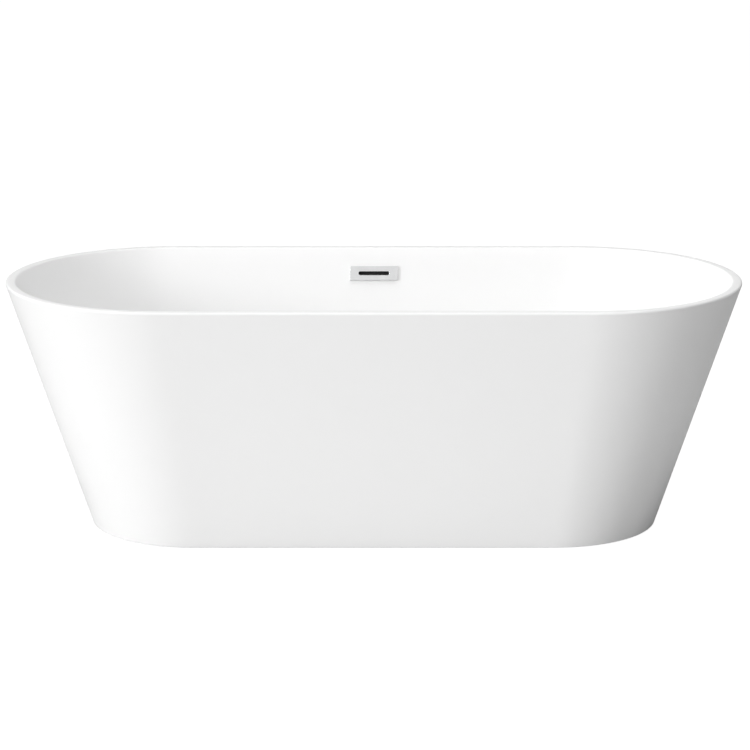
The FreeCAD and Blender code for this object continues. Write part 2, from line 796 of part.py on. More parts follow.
def duct_form(label, inset):
    """The overflow duct's wedge, set in by a wall: it follows the basin in front and the skirt behind."""
    body = new_body(label)
    place_on_wall(body)
    side = new_sketch(body, "side", "YZ_Plane")
    front = f"(-{DUCT_FRONT} - {inset})"
    draw_polygon(
        side,
        [
            (f"duct_above - {inset}", front),
            (f"duct_above - {inset}", f"-{DUCT_FRONT} - duct_depth + {inset}"),
            (f"-(duct_below - {inset})", f"-{DUCT_FRONT} - {DUCT_FOOT_DEPTH} + {inset}"),
            (f"-(duct_below - {inset})", front),
        ],
    )
    pad(body, "wedge", side, f"duct_length - 2*{inset}", both_ways=True)
    corners = new_sketch(body, "corners", height=f"-{DUCT_FRONT} + 1")
    for sign in ("-1", "1"):
        draw_polygon(
            corners,
            [
                (f"{sign}*(duct_length/2 - {inset})", "-duct_above"),
                (f"{sign}*(duct_foot_width/2 - {inset})", "-duct_waist"),
                (f"{sign}*(duct_foot_width/2 - {inset})", "-duct_below - 1"),
                (f"{sign}*(duct_length/2 + 1)", "-duct_below - 1"),
                (f"{sign}*(duct_length/2 + 1)", "-duct_above"),
            ],
        )
    pocket(body, "funnel", corners, f"2*{DUCT_FOOT_DEPTH}")
    return body


def overflow_body():
    """The moulded duct behind the wall: hollow, open to the slot, with a hose spigot at its foot."""
    outer = duct_form("duct_outer", "0")
    spigot = new_sketch(outer, "spigot", "XZ_Plane", "duct_below - 1")
    draw_circle(spigot, "hose_bore", "0", f"-{SPIGOT_DEPTH}")
    pad(outer, "hose_spigot", spigot, "spigot_length + 1")
    hollow = duct_form("duct_hollow", "duct_wall")
    bore = new_sketch(hollow, "bore", "XZ_Plane", "duct_below - 2*duct_wall")
    draw_circle(bore, "hose_bore - spigot_wall", "0", f"-{SPIGOT_DEPTH}")
    pad(hollow, "spigot_bore", bore, "spigot_length + 3*duct_wall")
    mouth = new_sketch(hollow, "mouth", height=f"-{DUCT_FRONT} + 1")
    draw_stadium(mouth, "flow_length", "flow_width")
    feature = pad(hollow, "slot_mouth", mouth, "duct_wall + 2")
    feature.Reversed = True
    bosses = new_sketch(hollow, "bosses", height=f"-{DUCT_FRONT}")
    for side in ("-", ""):
        draw_circle(bosses, "clamp_screw_radius + duct_boss_wall", f"{side}clamp_screw_spacing/2")
    pocket(hollow, "screw_bosses", bosses, "2*duct_depth")
    screws = new_sketch(hollow, "screws", height=f"-{DUCT_FRONT} + 1")
    for side in ("-", ""):
        draw_circle(screws, "clamp_screw_radius", f"{side}clamp_screw_spacing/2")
    feature = pad(hollow, "screw_holes", screws, "duct_depth - 0.5")
    feature.Reversed = True
    shell = doc.addObject("Part::Cut", "overflow_body")
    shell.Label = "overflow_body"
    shell.Base = outer
    shell.Tool = hollow


def overflow_screws():
    """The two screws that pull clamp plate, wall and duct together."""
    body = new_body("overflow_screws")
    place_on_wall(body)
    seat = "(front_gasket + clamp_thickness)"
    heads = new_sketch(body, "heads", height=seat)
    shanks = new_sketch(body, "shanks", height=seat)
    for side in ("-", ""):
        draw_circle(heads, "clamp_screw_head_radius", f"{side}clamp_screw_spacing/2")
        draw_circle(shanks, "clamp_screw_radius", f"{side}clamp_screw_spacing/2")
    pad(body, "head", heads, "clamp_screw_head")
    feature = pad(body, "shank", shanks, f"{seat} + {DUCT_FRONT} + duct_depth - 3")
    feature.Reversed = True


def hose_route():
    """The hose's corner points in the plane across the tub, as numbers (y, z): both ends and the bend."""
    tilt = math.atan(value(WALL_SLOPE))
    down = Vector(0, -math.sin(tilt), -math.cos(tilt))
    inward = Vector(0, -math.cos(tilt), math.sin(tilt))
    centre = Vector(0, value(OVERFLOW_Y), value(OVERFLOW_Z))
    start = centre + down * value("duct_below") - inward * value(SPIGOT_DEPTH)
    drop = (start.z - value(PORT_Z)) / math.cos(tilt)
    corner = start + down * drop
    end = Vector(0, value("port_reach - spigot_length"), value(PORT_Z))
    return start, corner, end, down


def overflow_hose():
    """The hose from the duct's spigot down between the walls and in under the basin to the waste."""
    start, corner, end, down = hose_route()
    back = Vector(0, -1, 0)
    turn = down.getAngle(back)
    radius = value("hose_bend")
    tangent = radius * math.tan(turn / 2)
    bend_in = corner - down * tangent
    bend_out = corner + back * tangent
    middle = (back - down).normalize() * (radius / math.cos(turn / 2) - radius) + corner
    path = Part.Wire(
        [
            Part.LineSegment(start, bend_in).toShape(),
            Part.Arc(bend_in, middle, bend_out).toShape(),
            Part.LineSegment(bend_out, end).toShape(),
        ]
    )
    tubes = []
    for size in ("hose_radius", "hose_bore"):
        ring = Part.Wire(Part.Circle(start, down, value(size)).toShape())
        tubes.append(path.makePipeShell([ring], True, False))
    hose = doc.addObject("Part::Feature", "overflow_hose")
    hose.Label = "overflow_hose"
    hose.Shape = tubes[0].cut(tubes[1])
    expected = math.pi * (value("hose_radius") ** 2 - value("hose_bore") ** 2) * path.Length
    if abs(hose.Shape.Volume / expected - 1) > 0.01:
        raise RuntimeError("the hose's volume isn't its section times its length")
    print(f"overflow hose: {path.Length:.0f} mm long, bend radius {radius:.0f} mm")


def hose_clamp(label, on_wall):
    """A band clamp round the hose's end, with its screw housing at one side."""
    body = new_body(label)
    if on_wall:
        place_on_wall(body)
        height, x, y = "duct_below + spigot_length/2 - clamp_band_width/2", "0", f"-{SPIGOT_DEPTH}"
    else:
        height, x, y = "-(port_reach - spigot_length/2 + clamp_band_width/2)", "0", PORT_Z
    outside = "(hose_radius + clamp_band)"
    housing = new_sketch(body, "housing", "XZ_Plane", height)
    middle = f"{x} + {outside} + clamp_housing_depth/2 - clamp_band"
    draw_rectangle(housing, "clamp_housing_depth", "clamp_housing_rise", middle, y)
    pad(body, "screw_housing", housing, "clamp_band_width")
    band = new_sketch(body, "band", "XZ_Plane", height)
    draw_circle(band, outside, x, y)
    pad(body, "band_ring", band, "clamp_band_width")
    bore = new_sketch(body, "bore", "XZ_Plane", height)
    draw_circle(bore, "hose_radius", x, y)
    pocket(body, "hose_hole", bore, "clamp_band_width", upwards=True)


# ---------------------------------------------------------------- waste


def drain_flange():
    """The plated flange in the floor's recess, with its hub and the bridge that holds the cartridge."""
    body = new_body("drain_flange")
    turned(
        body,
        "flange",
        [
            ("hub_bore", HUB_BOTTOM),
            ("hub_radius", HUB_BOTTOM),
            ("hub_radius", DISC_UNDERSIDE),
            ("flange_radius", DISC_UNDERSIDE),
            ("flange_radius", f"{DISC_TOP} - flange_edge"),
            ("flange_radius - flange_bevel", DISC_TOP),
            ("hub_bore + flange_bevel", DISC_TOP),
            ("hub_bore", f"{DISC_TOP} - flange_bevel"),
        ],
    )
    arms = new_sketch(body, "arms", height=HUB_BOTTOM)
    draw_rectangle(arms, "2*hub_bore + 2", "bridge_arm")
    pad(body, "long_arm", arms, "bridge_height")
    across = new_sketch(body, "across", height=HUB_BOTTOM)
    draw_rectangle(across, "bridge_arm", "2*hub_bore + 2")
    pad(body, "cross_arm", across, "bridge_height")
    boss = new_sketch(body, "boss", height=HUB_BOTTOM)
    draw_circle(boss, "cartridge_radius + bridge_boss_wall")
    pad(body, "cartridge_boss", boss, "bridge_height")
    thread = new_sketch(body, "thread", height=HUB_BOTTOM)
    draw_circle(thread, "cartridge_radius")
    pocket(body, "cartridge_hole", thread, "bridge_height", upwards=True)


def ring(label, inner, outer, bottom, top):
    """A plain ring turned about the waste's axis."""
    body = new_body(label)
    turned(body, "ring", [(inner, bottom), (outer, bottom), (outer, top), (inner, top)])


def drain_seals():
    """The seals above and below the floor, and the washer over the tailpiece."""
    outside = "flange_radius - seal_inset"
    ring("drain_upper_seal", "drain_hole_radius", outside, RECESS_LEVEL, DISC_UNDERSIDE)
    outside = "body_flange_radius - 2*seal_inset"
    ring("drain_lower_seal", "hub_radius + seal_inset", outside, BODY_TOP, BASIN_UNDERSIDE)
    ring("tail_washer", "tail_radius + rest_gap", "neck_radius - seal_inset", TAIL_TOP, NECK_BOTTOM)


def drain_body():
    """The waste body under the floor, with the overflow's side port and a threaded outlet."""
    body = new_body("drain_body")
    chamber = "(hub_radius + thread_clearance)"
    turned(
        body,
        "cup",
        [
            (chamber, BODY_TOP),
            (chamber, f"{NECK_TOP} + 4"),
            ("neck_bore", f"{NECK_TOP} - 2"),
            ("neck_bore", NECK_BOTTOM),
            ("neck_radius", NECK_BOTTOM),
            ("neck_radius", NECK_TOP),
            ("body_radius", f"{NECK_TOP} + 5"),
            ("body_radius", f"{BODY_TOP} - body_flange"),
            ("body_flange_radius", f"{BODY_TOP} - body_flange"),
            ("body_flange_radius", BODY_TOP),
        ],
    )
    port = new_sketch(body, "port", "XZ_Plane", "-port_reach")
    draw_circle(port, "hose_bore", "0", PORT_Z)
    pad(body, "side_port", port, "port_reach - hub_radius - 2")
    bore = new_sketch(body, "port_bore", "XZ_Plane", "-port_reach")
    draw_circle(bore, "hose_bore - spigot_wall", "0", PORT_Z)
    pocket(body, "side_bore", bore, "port_reach - hub_radius + 4", upwards=True)


def tailpiece():
    """The flanged outlet pipe."""
    body = new_body("tailpiece")
    bore = "tail_radius - tail_wall"
    collar = "tail_radius + tail_collar"
    turned(
        body,
        "pipe",
        [
            (bore, "tail_bottom"),
            ("tail_radius", "tail_bottom"),
            ("tail_radius", f"{TAIL_LIP} - tail_collar_drop"),
            (collar, f"{TAIL_LIP} - tail_collar_drop"),
            (collar, TAIL_SHOULDER),
            ("neck_radius - seal_inset", TAIL_SHOULDER),
            ("neck_radius - seal_inset", TAIL_TOP),
            (bore, TAIL_TOP),
        ],
    )


def tail_nut():
    """The union nut, with finger grooves, that pulls the tailpiece up to the outlet."""
    body = new_body("tail_nut")
    thread = "(neck_radius + thread_clearance)"
    top = f"({NECK_TOP} - tail_nut_drop)"
    turned(
        body,
        "nut",
        [
            ("tail_nut_bore", TAIL_LIP),
            ("tail_nut_radius - tail_nut_edge", TAIL_LIP),
            ("tail_nut_radius", f"{TAIL_LIP} + tail_nut_edge"),
            ("tail_nut_radius", top),
            (thread, top),
            (thread, TAIL_SHOULDER),
            ("tail_nut_bore", TAIL_SHOULDER),
        ],
    )
    groove = new_sketch(body, "groove", height=top)
    draw_circle(groove, "grip_radius", "tail_nut_radius + grip_offset")
    cut = pocket(body, "finger_groove", groove, "grip_length")
    around = body.newObject("PartDesign::PolarPattern", "finger_grooves")
    around.Originals = [cut]
    around.Axis = (groove, ["N_Axis"])
    around.Angle = 360
    around.Occurrences = 12
    body.Tip = around


def cartridge():
    """The click-clack cartridge's housing, its end plug and its spring."""
    body = new_body("cartridge_housing")
    bridge = f"({HUB_BOTTOM} + bridge_height)"
    turned(
        body,
        "housing",
        [
            ("cartridge_bore", CARTRIDGE_BOTTOM),
            ("cartridge_radius", CARTRIDGE_BOTTOM),
            ("cartridge_radius", bridge),
            ("cartridge_radius + cartridge_collar", bridge),
            ("cartridge_radius + cartridge_collar", f"{bridge} + cartridge_collar_height"),
            ("cartridge_radius", f"{bridge} + cartridge_collar_height"),
            ("cartridge_radius", CARTRIDGE_TOP),
            ("stem_rod + thread_clearance", CARTRIDGE_TOP),
            ("stem_rod + thread_clearance", f"{CARTRIDGE_TOP} - cartridge_lid"),
            ("cartridge_bore", f"{CARTRIDGE_TOP} - cartridge_lid"),
        ],
    )
    body = new_body("cartridge_end_plug")
    disc = new_sketch(body, "disc", height=CARTRIDGE_BOTTOM)
    draw_circle(disc, "cartridge_bore")
    pad(body, "plug", disc, "cartridge_lid")
    body = new_body("cartridge_spring")
    wire = new_sketch(body, "wire", "XZ_Plane")
    foot = f"({CARTRIDGE_BOTTOM} + cartridge_lid + spring_wire)"
    draw_circle(wire, "spring_wire", "cartridge_bore - rest_gap - spring_wire", foot)
    coil = body.newObject("PartDesign::AdditiveHelix", "coil")
    coil.Profile = wire
    coil.ReferenceAxis = (wire, ["V_Axis"])
    coil.Mode = "height-turns-angle"
    coil.setExpression("Height", bound(f"{STEM_COLLAR} - spring_wire - {foot}"))
    coil.setExpression("Turns", bound("spring_turns"))


def plug():
    """The moving plug: its cap, its seal and the stem that slides in the cartridge."""
    body = new_body("plug_stem")
    turned(
        body,
        "rod",
        [
            ("0", STEM_COLLAR),
            ("cartridge_bore - thread_clearance", STEM_COLLAR),
            ("cartridge_bore - thread_clearance", f"{STEM_COLLAR} + cartridge_collar_height"),
            ("stem_rod", f"{STEM_COLLAR} + cartridge_collar_height"),
            ("stem_rod", PLUG_UNDERSIDE),
            ("0", PLUG_UNDERSIDE),
        ],
    )
    body = new_body("plug_cap")
    boss = f"({PLUG_UNDERSIDE} - plug_boss)"
    crown = f"({PLUG_UNDERSIDE} + plug_disc)"
    turned(
        body,
        "cap",
        [
            ("stem_rod", boss),
            ("stem_rod + plug_boss_wall", boss),
            ("stem_rod + plug_boss_wall", PLUG_UNDERSIDE),
            ("plug_radius - plug_edge", PLUG_UNDERSIDE),
            ("plug_radius", f"{PLUG_UNDERSIDE} + plug_edge"),
            ("plug_radius", f"{PLUG_UNDERSIDE} + plug_disc/2"),
            ("plug_radius - plug_shoulder", f"{crown} - plug_edge"),
            ("plug_radius/2", crown),
            ("0", crown),
            ("0", PLUG_UNDERSIDE),
            ("stem_rod", PLUG_UNDERSIDE),
        ],
    )
    seal = f"({PLUG_UNDERSIDE} - plug_seal_thickness)"
    ring("plug_seal", "stem_rod + plug_boss_wall", "plug_seal_radius", seal, PLUG_UNDERSIDE)


# ---------------------------------------------------------------- the whole tub


def build():
    """Makes every piece of the tub."""
    fill_sheet()
    basin_shell()
    outer_skirt()
    rim_bond_strip()
    base_board()
    frame_rail("frame_rail_front", "-")
    frame_rail("frame_rail_back", "")
    crossbar("crossbar_left", f"-{FOOT_X}", BAR_END, True)
    crossbar("crossbar_right", FOOT_X, BAR_END, True)
    crossbar("crossbar_mid_left", "-mid_bar_spacing/2", f"({RAIL_Y} + tube/2)", False)
    crossbar("crossbar_mid_right", "mid_bar_spacing/2", f"({RAIL_Y} + tube/2)", False)
    board_screws()
    skirt_brackets()
    nut_group("foot_weld_nuts", RAIL_UNDERSIDE)
    nut_group("foot_lock_nuts", f"{BAR_UNDERSIDE} - nut_height")
    names = ("front_left", "back_left", "front_right", "back_right")
    for name, at in zip(names, corners(FOOT_X, FOOT_Y)):
        levelling_foot(name, at)
    overflow_cover()
    overflow_plates()
    overflow_body()
    overflow_screws()
    overflow_hose()
    hose_clamp("hose_clamp_upper", True)
    hose_clamp("hose_clamp_lower", False)
    drain_flange()
    drain_seals()
    drain_body()
    tailpiece()
    tail_nut()
    cartridge()
    plug()
    doc.recompute()


def pieces():
    """The objects that are written: every body, cut and feature that isn't used up by another."""
    kinds = ("PartDesign::Body", "Part::Cut", "Part::Feature")
    used = {o.Name for cut in doc.Objects if cut.TypeId == "Part::Cut" for o in (cut.Base, cut.Tool)}
    return [o for o in doc.Objects if o.TypeId in kinds and o.Name not in used]


def write():
    """Checks every object and writes each piece to its STEP file."""
    faults = [o.Name for o in doc.Objects if {"Invalid", "Error"} & set(o.State)]
    for piece in pieces():
        shape = piece.Shape
        if shape.isNull() or not shape.isValid() or not shape.Solids:
            faults.append(piece.Label)
    if faults:
        raise RuntimeError(f"these objects failed: {faults}")
    os.makedirs("parts", exist_ok=True)
    for piece in pieces():
        piece.Shape.exportStep(f"parts/{piece.Label}.step")
    print(f"wrote {len(pieces())} pieces")


build()
write()
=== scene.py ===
"""Looks of a freestanding oval bathtub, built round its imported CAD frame.

The tub is a white acrylic basin bonded into a tapered skirt, with a slotted overflow, a push plug waste, a
ribbed overflow hose and a welded frame on four levelling feet. Sizes are metres: +X runs along the tub,
+Y towards the overflow, and +Z up from the floor.
"""

from __future__ import annotations

import json
import logging
import math
from dataclasses import dataclass
from enum import Enum
from typing import Callable, Iterable, Sequence

import bmesh
import bpy
from bpy.types import Material, Node, NodeSocket, NodeTree, Object, World
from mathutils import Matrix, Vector

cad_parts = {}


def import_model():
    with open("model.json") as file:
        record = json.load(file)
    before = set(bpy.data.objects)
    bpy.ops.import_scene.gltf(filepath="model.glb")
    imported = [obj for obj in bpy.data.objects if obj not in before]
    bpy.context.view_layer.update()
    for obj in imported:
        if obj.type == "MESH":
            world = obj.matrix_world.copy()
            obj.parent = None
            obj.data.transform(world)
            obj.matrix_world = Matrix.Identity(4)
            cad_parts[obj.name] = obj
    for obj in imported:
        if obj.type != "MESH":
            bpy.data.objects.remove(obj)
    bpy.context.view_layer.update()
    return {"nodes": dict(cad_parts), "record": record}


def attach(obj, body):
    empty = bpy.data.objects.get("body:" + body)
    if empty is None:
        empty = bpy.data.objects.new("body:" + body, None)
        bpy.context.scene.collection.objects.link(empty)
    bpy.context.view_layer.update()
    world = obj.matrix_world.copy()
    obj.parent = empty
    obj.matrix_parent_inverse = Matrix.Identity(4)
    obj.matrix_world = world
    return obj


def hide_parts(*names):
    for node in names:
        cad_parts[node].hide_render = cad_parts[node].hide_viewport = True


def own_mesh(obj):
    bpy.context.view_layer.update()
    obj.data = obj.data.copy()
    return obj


LOG = logging.getLogger("bathtub")
NEAR = 1e-6  # two places this close are the same
OVERFLOW_HEIGHT = 0.520
Colour = tuple[float, float, float]
Point = tuple[float, float]
Place = tuple[float, float, float]
Given = dict[str | int, object]


class Slot(Enum):
    """The record's material slots."""

    ACRYLIC = "acrylic"
    RESIN = "bond_resin"
    BOARD = "board"
    PAINT = "frame_paint"
    ZINC = "zinc_steel"
    STAINLESS = "stainless"
    CHROME = "chrome"
    BRASS = "brass"
    RUBBER = "rubber"
    WASTE = "waste_plastic"
    HOSE = "hose_plastic"
    FOOT = "foot_plastic"


class Corner(Enum):
    """The four levelling feet, each with the side of the tub it stands on."""

    FRONT_LEFT = ("front_left", -1, -1)
    BACK_LEFT = ("back_left", -1, 1)
    FRONT_RIGHT = ("front_right", 1, -1)
    BACK_RIGHT = ("back_right", 1, 1)


# ---- modelling by hand


def take(*pieces: Object) -> None:
    """Makes these the only selected objects, the first of them active.

    Args:
        pieces: the objects that the next operator acts on.
    """
    bpy.ops.object.select_all(action="DESELECT")
    for piece in pieces:
        piece.select_set(True)
    bpy.context.view_layer.objects.active = pieces[0]


def open_mesh(piece: Object) -> None:
    """Enters edit mode on the piece with every vertex selected."""
    take(piece)
    bpy.ops.object.mode_set(mode="EDIT")
    bpy.ops.mesh.select_mode(type="VERT")
    bpy.ops.mesh.select_all(action="SELECT")


def close_mesh() -> None:
    """Leaves edit mode."""
    bpy.ops.object.mode_set(mode="OBJECT")


def pick(piece: Object, wanted: Callable[[Vector], bool]) -> int:
    """Selects the vertices that show, by their place.

    Args:
        piece: the object in edit mode.
        wanted: says whether a vertex at that place is picked.

    Returns:
        How many vertices are selected.
    """
    mesh = bmesh.from_edit_mesh(piece.data)
    for vertex in mesh.verts:
        vertex.select = not vertex.hide and wanted(vertex.co)
    mesh.select_flush_mode()
    bmesh.update_edit_mesh(piece.data)
    return sum(vertex.select for vertex in mesh.verts)


def pick_all(piece: Object) -> None:
    """Selects every vertex that shows."""
    pick(piece, lambda co: True)


def isolate() -> None:
    """Hides everything but the selection."""
    bpy.ops.mesh.hide(unselected=True)


def shift(by: Place) -> None:
    """Moves the selected vertices."""
    bpy.ops.transform.translate(value=by)


def stretch(by: Place, about: Place = (0, 0, 0)) -> None:
    """Scales the selected vertices about a point."""
    bpy.ops.transform.resize(value=by, center_override=about)


def extrude(by: Place = (0, 0, 0)) -> None:
    """Extrudes the selection and moves what is new."""
    bpy.ops.mesh.extrude_region_move(TRANSFORM_OT_translate={"value": by})


def displace(piece: Object, by: Place) -> None:
    """Moves the whole mesh."""
    open_mesh(piece)
    shift(by)
    close_mesh()


def heal(piece: Object, gap: float = 1e-5) -> None:
    """Merges doubled vertices and turns every face outwards.

    Args:
        piece: the object, in object mode.
        gap: the distance under which two vertices become one.
    """
    open_mesh(piece)
    bpy.ops.mesh.remove_doubles(threshold=gap)
    bpy.ops.mesh.normals_make_consistent(inside=False)
    close_mesh()


def finish_with(piece: Object, kind: str, **settings: object) -> None:
    """Adds a modifier, sets it and applies it.

    Args:
        piece: the object it shapes.
        kind: the modifier's type.
        settings: its properties.
    """
    take(piece)
    modifier = piece.modifiers.new(kind.lower(), kind)
    for name, setting in settings.items():
        setattr(modifier, name, setting)
    bpy.ops.object.modifier_apply(modifier=modifier.name)


def soften(piece: Object, width: float, degrees: float) -> None:
    """Bevels every edge sharper than the angle."""
    angle = math.radians(degrees)
    finish_with(piece, "BEVEL", width=width, segments=2, limit_method="ANGLE", angle_limit=angle)


def coil(piece: Object, pitch: float, turns: int, steps: int, **settings: object) -> None:
    """Winds an outline up round Z; a turn rises by the pitch, in that many steps."""
    settings |= {"angle": math.tau, "screw_offset": pitch, "iterations": turns, "axis": "Z"}
    finish_with(piece, "SCREW", steps=steps, render_steps=steps, use_smooth_shade=True, **settings)


def carve(piece: Object, cutter: Object) -> None:
    """Cuts one object out of another and removes the cutter."""
    finish_with(piece, "BOOLEAN", operation="DIFFERENCE", solver="EXACT", object=cutter)
    bpy.data.objects.remove(cutter)


def apply_place(piece: Object) -> None:
    """Puts the object's place and turn into its mesh."""
    take(piece)
    bpy.ops.object.transform_apply(location=True, rotation=True, scale=True)


def join(pieces: Sequence[Object]) -> Object:
    """Joins several objects into the first of them."""
    take(*pieces)
    bpy.ops.object.join()
    return pieces[0]


def smooth(piece: Object, degrees: float) -> None:
    """Shades smoothly, except over edges sharper than the angle."""
    take(piece)
    bpy.ops.object.shade_smooth_by_angle(angle=math.radians(degrees))


def new_circle(radius: float, segments: int, height: float = 0, filled: bool = False) -> Object:
    """A level circle about Z.

    Args:
        radius: its radius.
        segments: how many vertices it has.
        height: its height.
        filled: whether it has a face.

    Returns:
        The new object.
    """
    fill = "NGON" if filled else "NOTHING"
    bpy.ops.mesh.primitive_circle_add(
        vertices=segments, radius=radius, fill_type=fill, location=(0, 0, 0)
    )
    displace(bpy.context.object, (0, 0, height))
    return bpy.context.object


def new_block(size: Place, centre: Place) -> Object:
    """A block.

    Args:
        size: its size along X, Y and Z.
        centre: its middle.

    Returns:
        The new object.
    """
    bpy.ops.mesh.primitive_cube_add(size=1, location=(0, 0, 0))
    piece = bpy.context.object
    open_mesh(piece)
    stretch(size)
    shift(centre)
    close_mesh()
    return piece


def new_outline(points: Sequence[Point]) -> Object:
    """An open chain of edges in the XZ plane.

    Args:
        points: its corners as (radius, height).

    Returns:
        The new object.
    """
    bpy.ops.mesh.primitive_plane_add(size=0.001, location=(0, 0, 0))
    piece = bpy.context.object
    open_mesh(piece)
    bpy.ops.mesh.merge(type="CENTER")
    shift((points[0][0], 0, points[0][1]))
    for before, after in zip(points, points[1:]):
        extrude((after[0] - before[0], 0, after[1] - before[1]))
    close_mesh()
    return piece


def turned(points: list[Point], radii: Sequence[float], steps: int, segments: int) -> Object:
    """A closed shape spun about Z from its half section.

    Args:
        points: the section's corners as (radius, height); the first is repeated at the end when it is a ring.
        radii: a rounding for each corner, 0 where it stays sharp.
        steps: how many short runs make a round corner.
        segments: steps round the axis.

    Returns:
        The new object.
    """
    outline: list[Point] = []
    for before, corner, after, radius in zip(points[-1:] + points, points, points[1:] + points[:1], radii):
        outline += Bend.between(corner, before, after, radius).run(steps) if radius else [corner]
    piece = new_outline(outline)
    open_mesh(piece)
    bpy.ops.mesh.spin(steps=segments, angle=math.tau, center=(0, 0, 0), axis=(0, 0, 1))
    close_mesh()
    heal(piece)
    return piece


@dataclass(frozen=True)
class Bend:
    """A round corner between two straight runs of a section."""

    centre: Point
    radius: float
    start: Point
    end: Point

    @classmethod
    def between(cls, corner: Point, before: Point, after: Point, radius: float) -> Bend:
        """Fits the arc that touches both runs.

        Args:
            corner: where the runs would meet.
            before: a point on the first run.
            after: a point on the second run.
            radius: the arc's radius.

        Returns:
            The bend.
        """
        at = Vector(corner)
        one = (Vector(before) - at).normalized()
        two = (Vector(after) - at).normalized()
        half = one.angle(two) / 2
        middle = (one + two).normalized()
        centre = at + middle * (radius / math.sin(half))
        reach = radius / math.tan(half)
        return cls(tuple(centre), radius, tuple(at + one * reach), tuple(at + two * reach))

    @property
    def heights(self) -> Point:
        """The heights of the arc's two ends."""
        return self.start[1], self.end[1]

    def run(self, steps: int) -> list[Point]:
        """Points along the arc.

        Args:
            steps: how many short runs it is cut into.

        Returns:
            The points from its start to its end, both included.
        """
        first = Vector(self.start) - Vector(self.centre)
        turn = first.angle_signed(Vector(self.end) - Vector(self.centre))
        angles = [math.atan2(first.y, first.x) - turn * k / steps for k in range(steps + 1)]
        (x, y), reach = self.centre, self.radius
        return [(x + reach * math.cos(angle), y + reach * math.sin(angle)) for angle in angles]

    def at(self, height: float, side: int) -> float:
        """Half size of the arc at a height, outside its centre for side 1 and inside it for -1."""
        rise = min(self.radius, abs(height - self.centre[1]))
        return self.centre[0] + side * math.sqrt(self.radius**2 - rise**2)


# ---- shared shader effects


class Tree:
    """Adds nodes to one node tree, laid out in rows."""

    row = 8
    pitch = (220, -260)

    def __init__(self, tree: NodeTree) -> None:
        """Starts on a tree that has no nodes yet."""
        self.tree = tree

    @classmethod
    def of(cls, owner: Material | World) -> Tree:
        """The emptied tree of a material or a world."""
        owner.use_nodes = True
        owner.node_tree.nodes.clear()
        return cls(owner.node_tree)

    def add(self, kind: str, given: Given | None = None, **settings: object) -> Node:
        """Adds a node.

        Args:
            kind: its type name.
            given: what its inputs get: a number, a colour, or the output that feeds them.
            settings: its properties.

        Returns:
            The node.
        """
        count = len(self.tree.nodes)
        node = self.tree.nodes.new(kind)
        node.location = (self.pitch[0] * (count % self.row), self.pitch[1] * (count // self.row))
        for name, setting in settings.items():
            setattr(node, name, setting)
        for name, source in (given or {}).items():
            if isinstance(source, NodeSocket):
                self.tree.links.new(source, node.inputs[name])
            else:
                node.inputs[name].default_value = source
        return node

    def maths(self, operation: str, first: object, second: object) -> NodeSocket:
        """The result of a Math node on two sockets or numbers."""
        return self.add("ShaderNodeMath", {0: first, 1: second}, operation=operation).outputs[0]

    def blend(self, share: object, first: object, second: object) -> NodeSocket:
        """The result of a Mix node on two colours."""
        return self.add("ShaderNodeMix", {0: share, 6: first, 7: second}, data_type="RGBA").outputs[2]

    def effect(self, name: str, vector: NodeSocket, **given: object) -> NodeSocket:
        """The output of a shared effect, with its Vector and other inputs."""
        inputs = {"Vector": vector, **given}
        return self.add("ShaderNodeGroup", inputs, node_tree=Effects.get(name)).outputs[0]


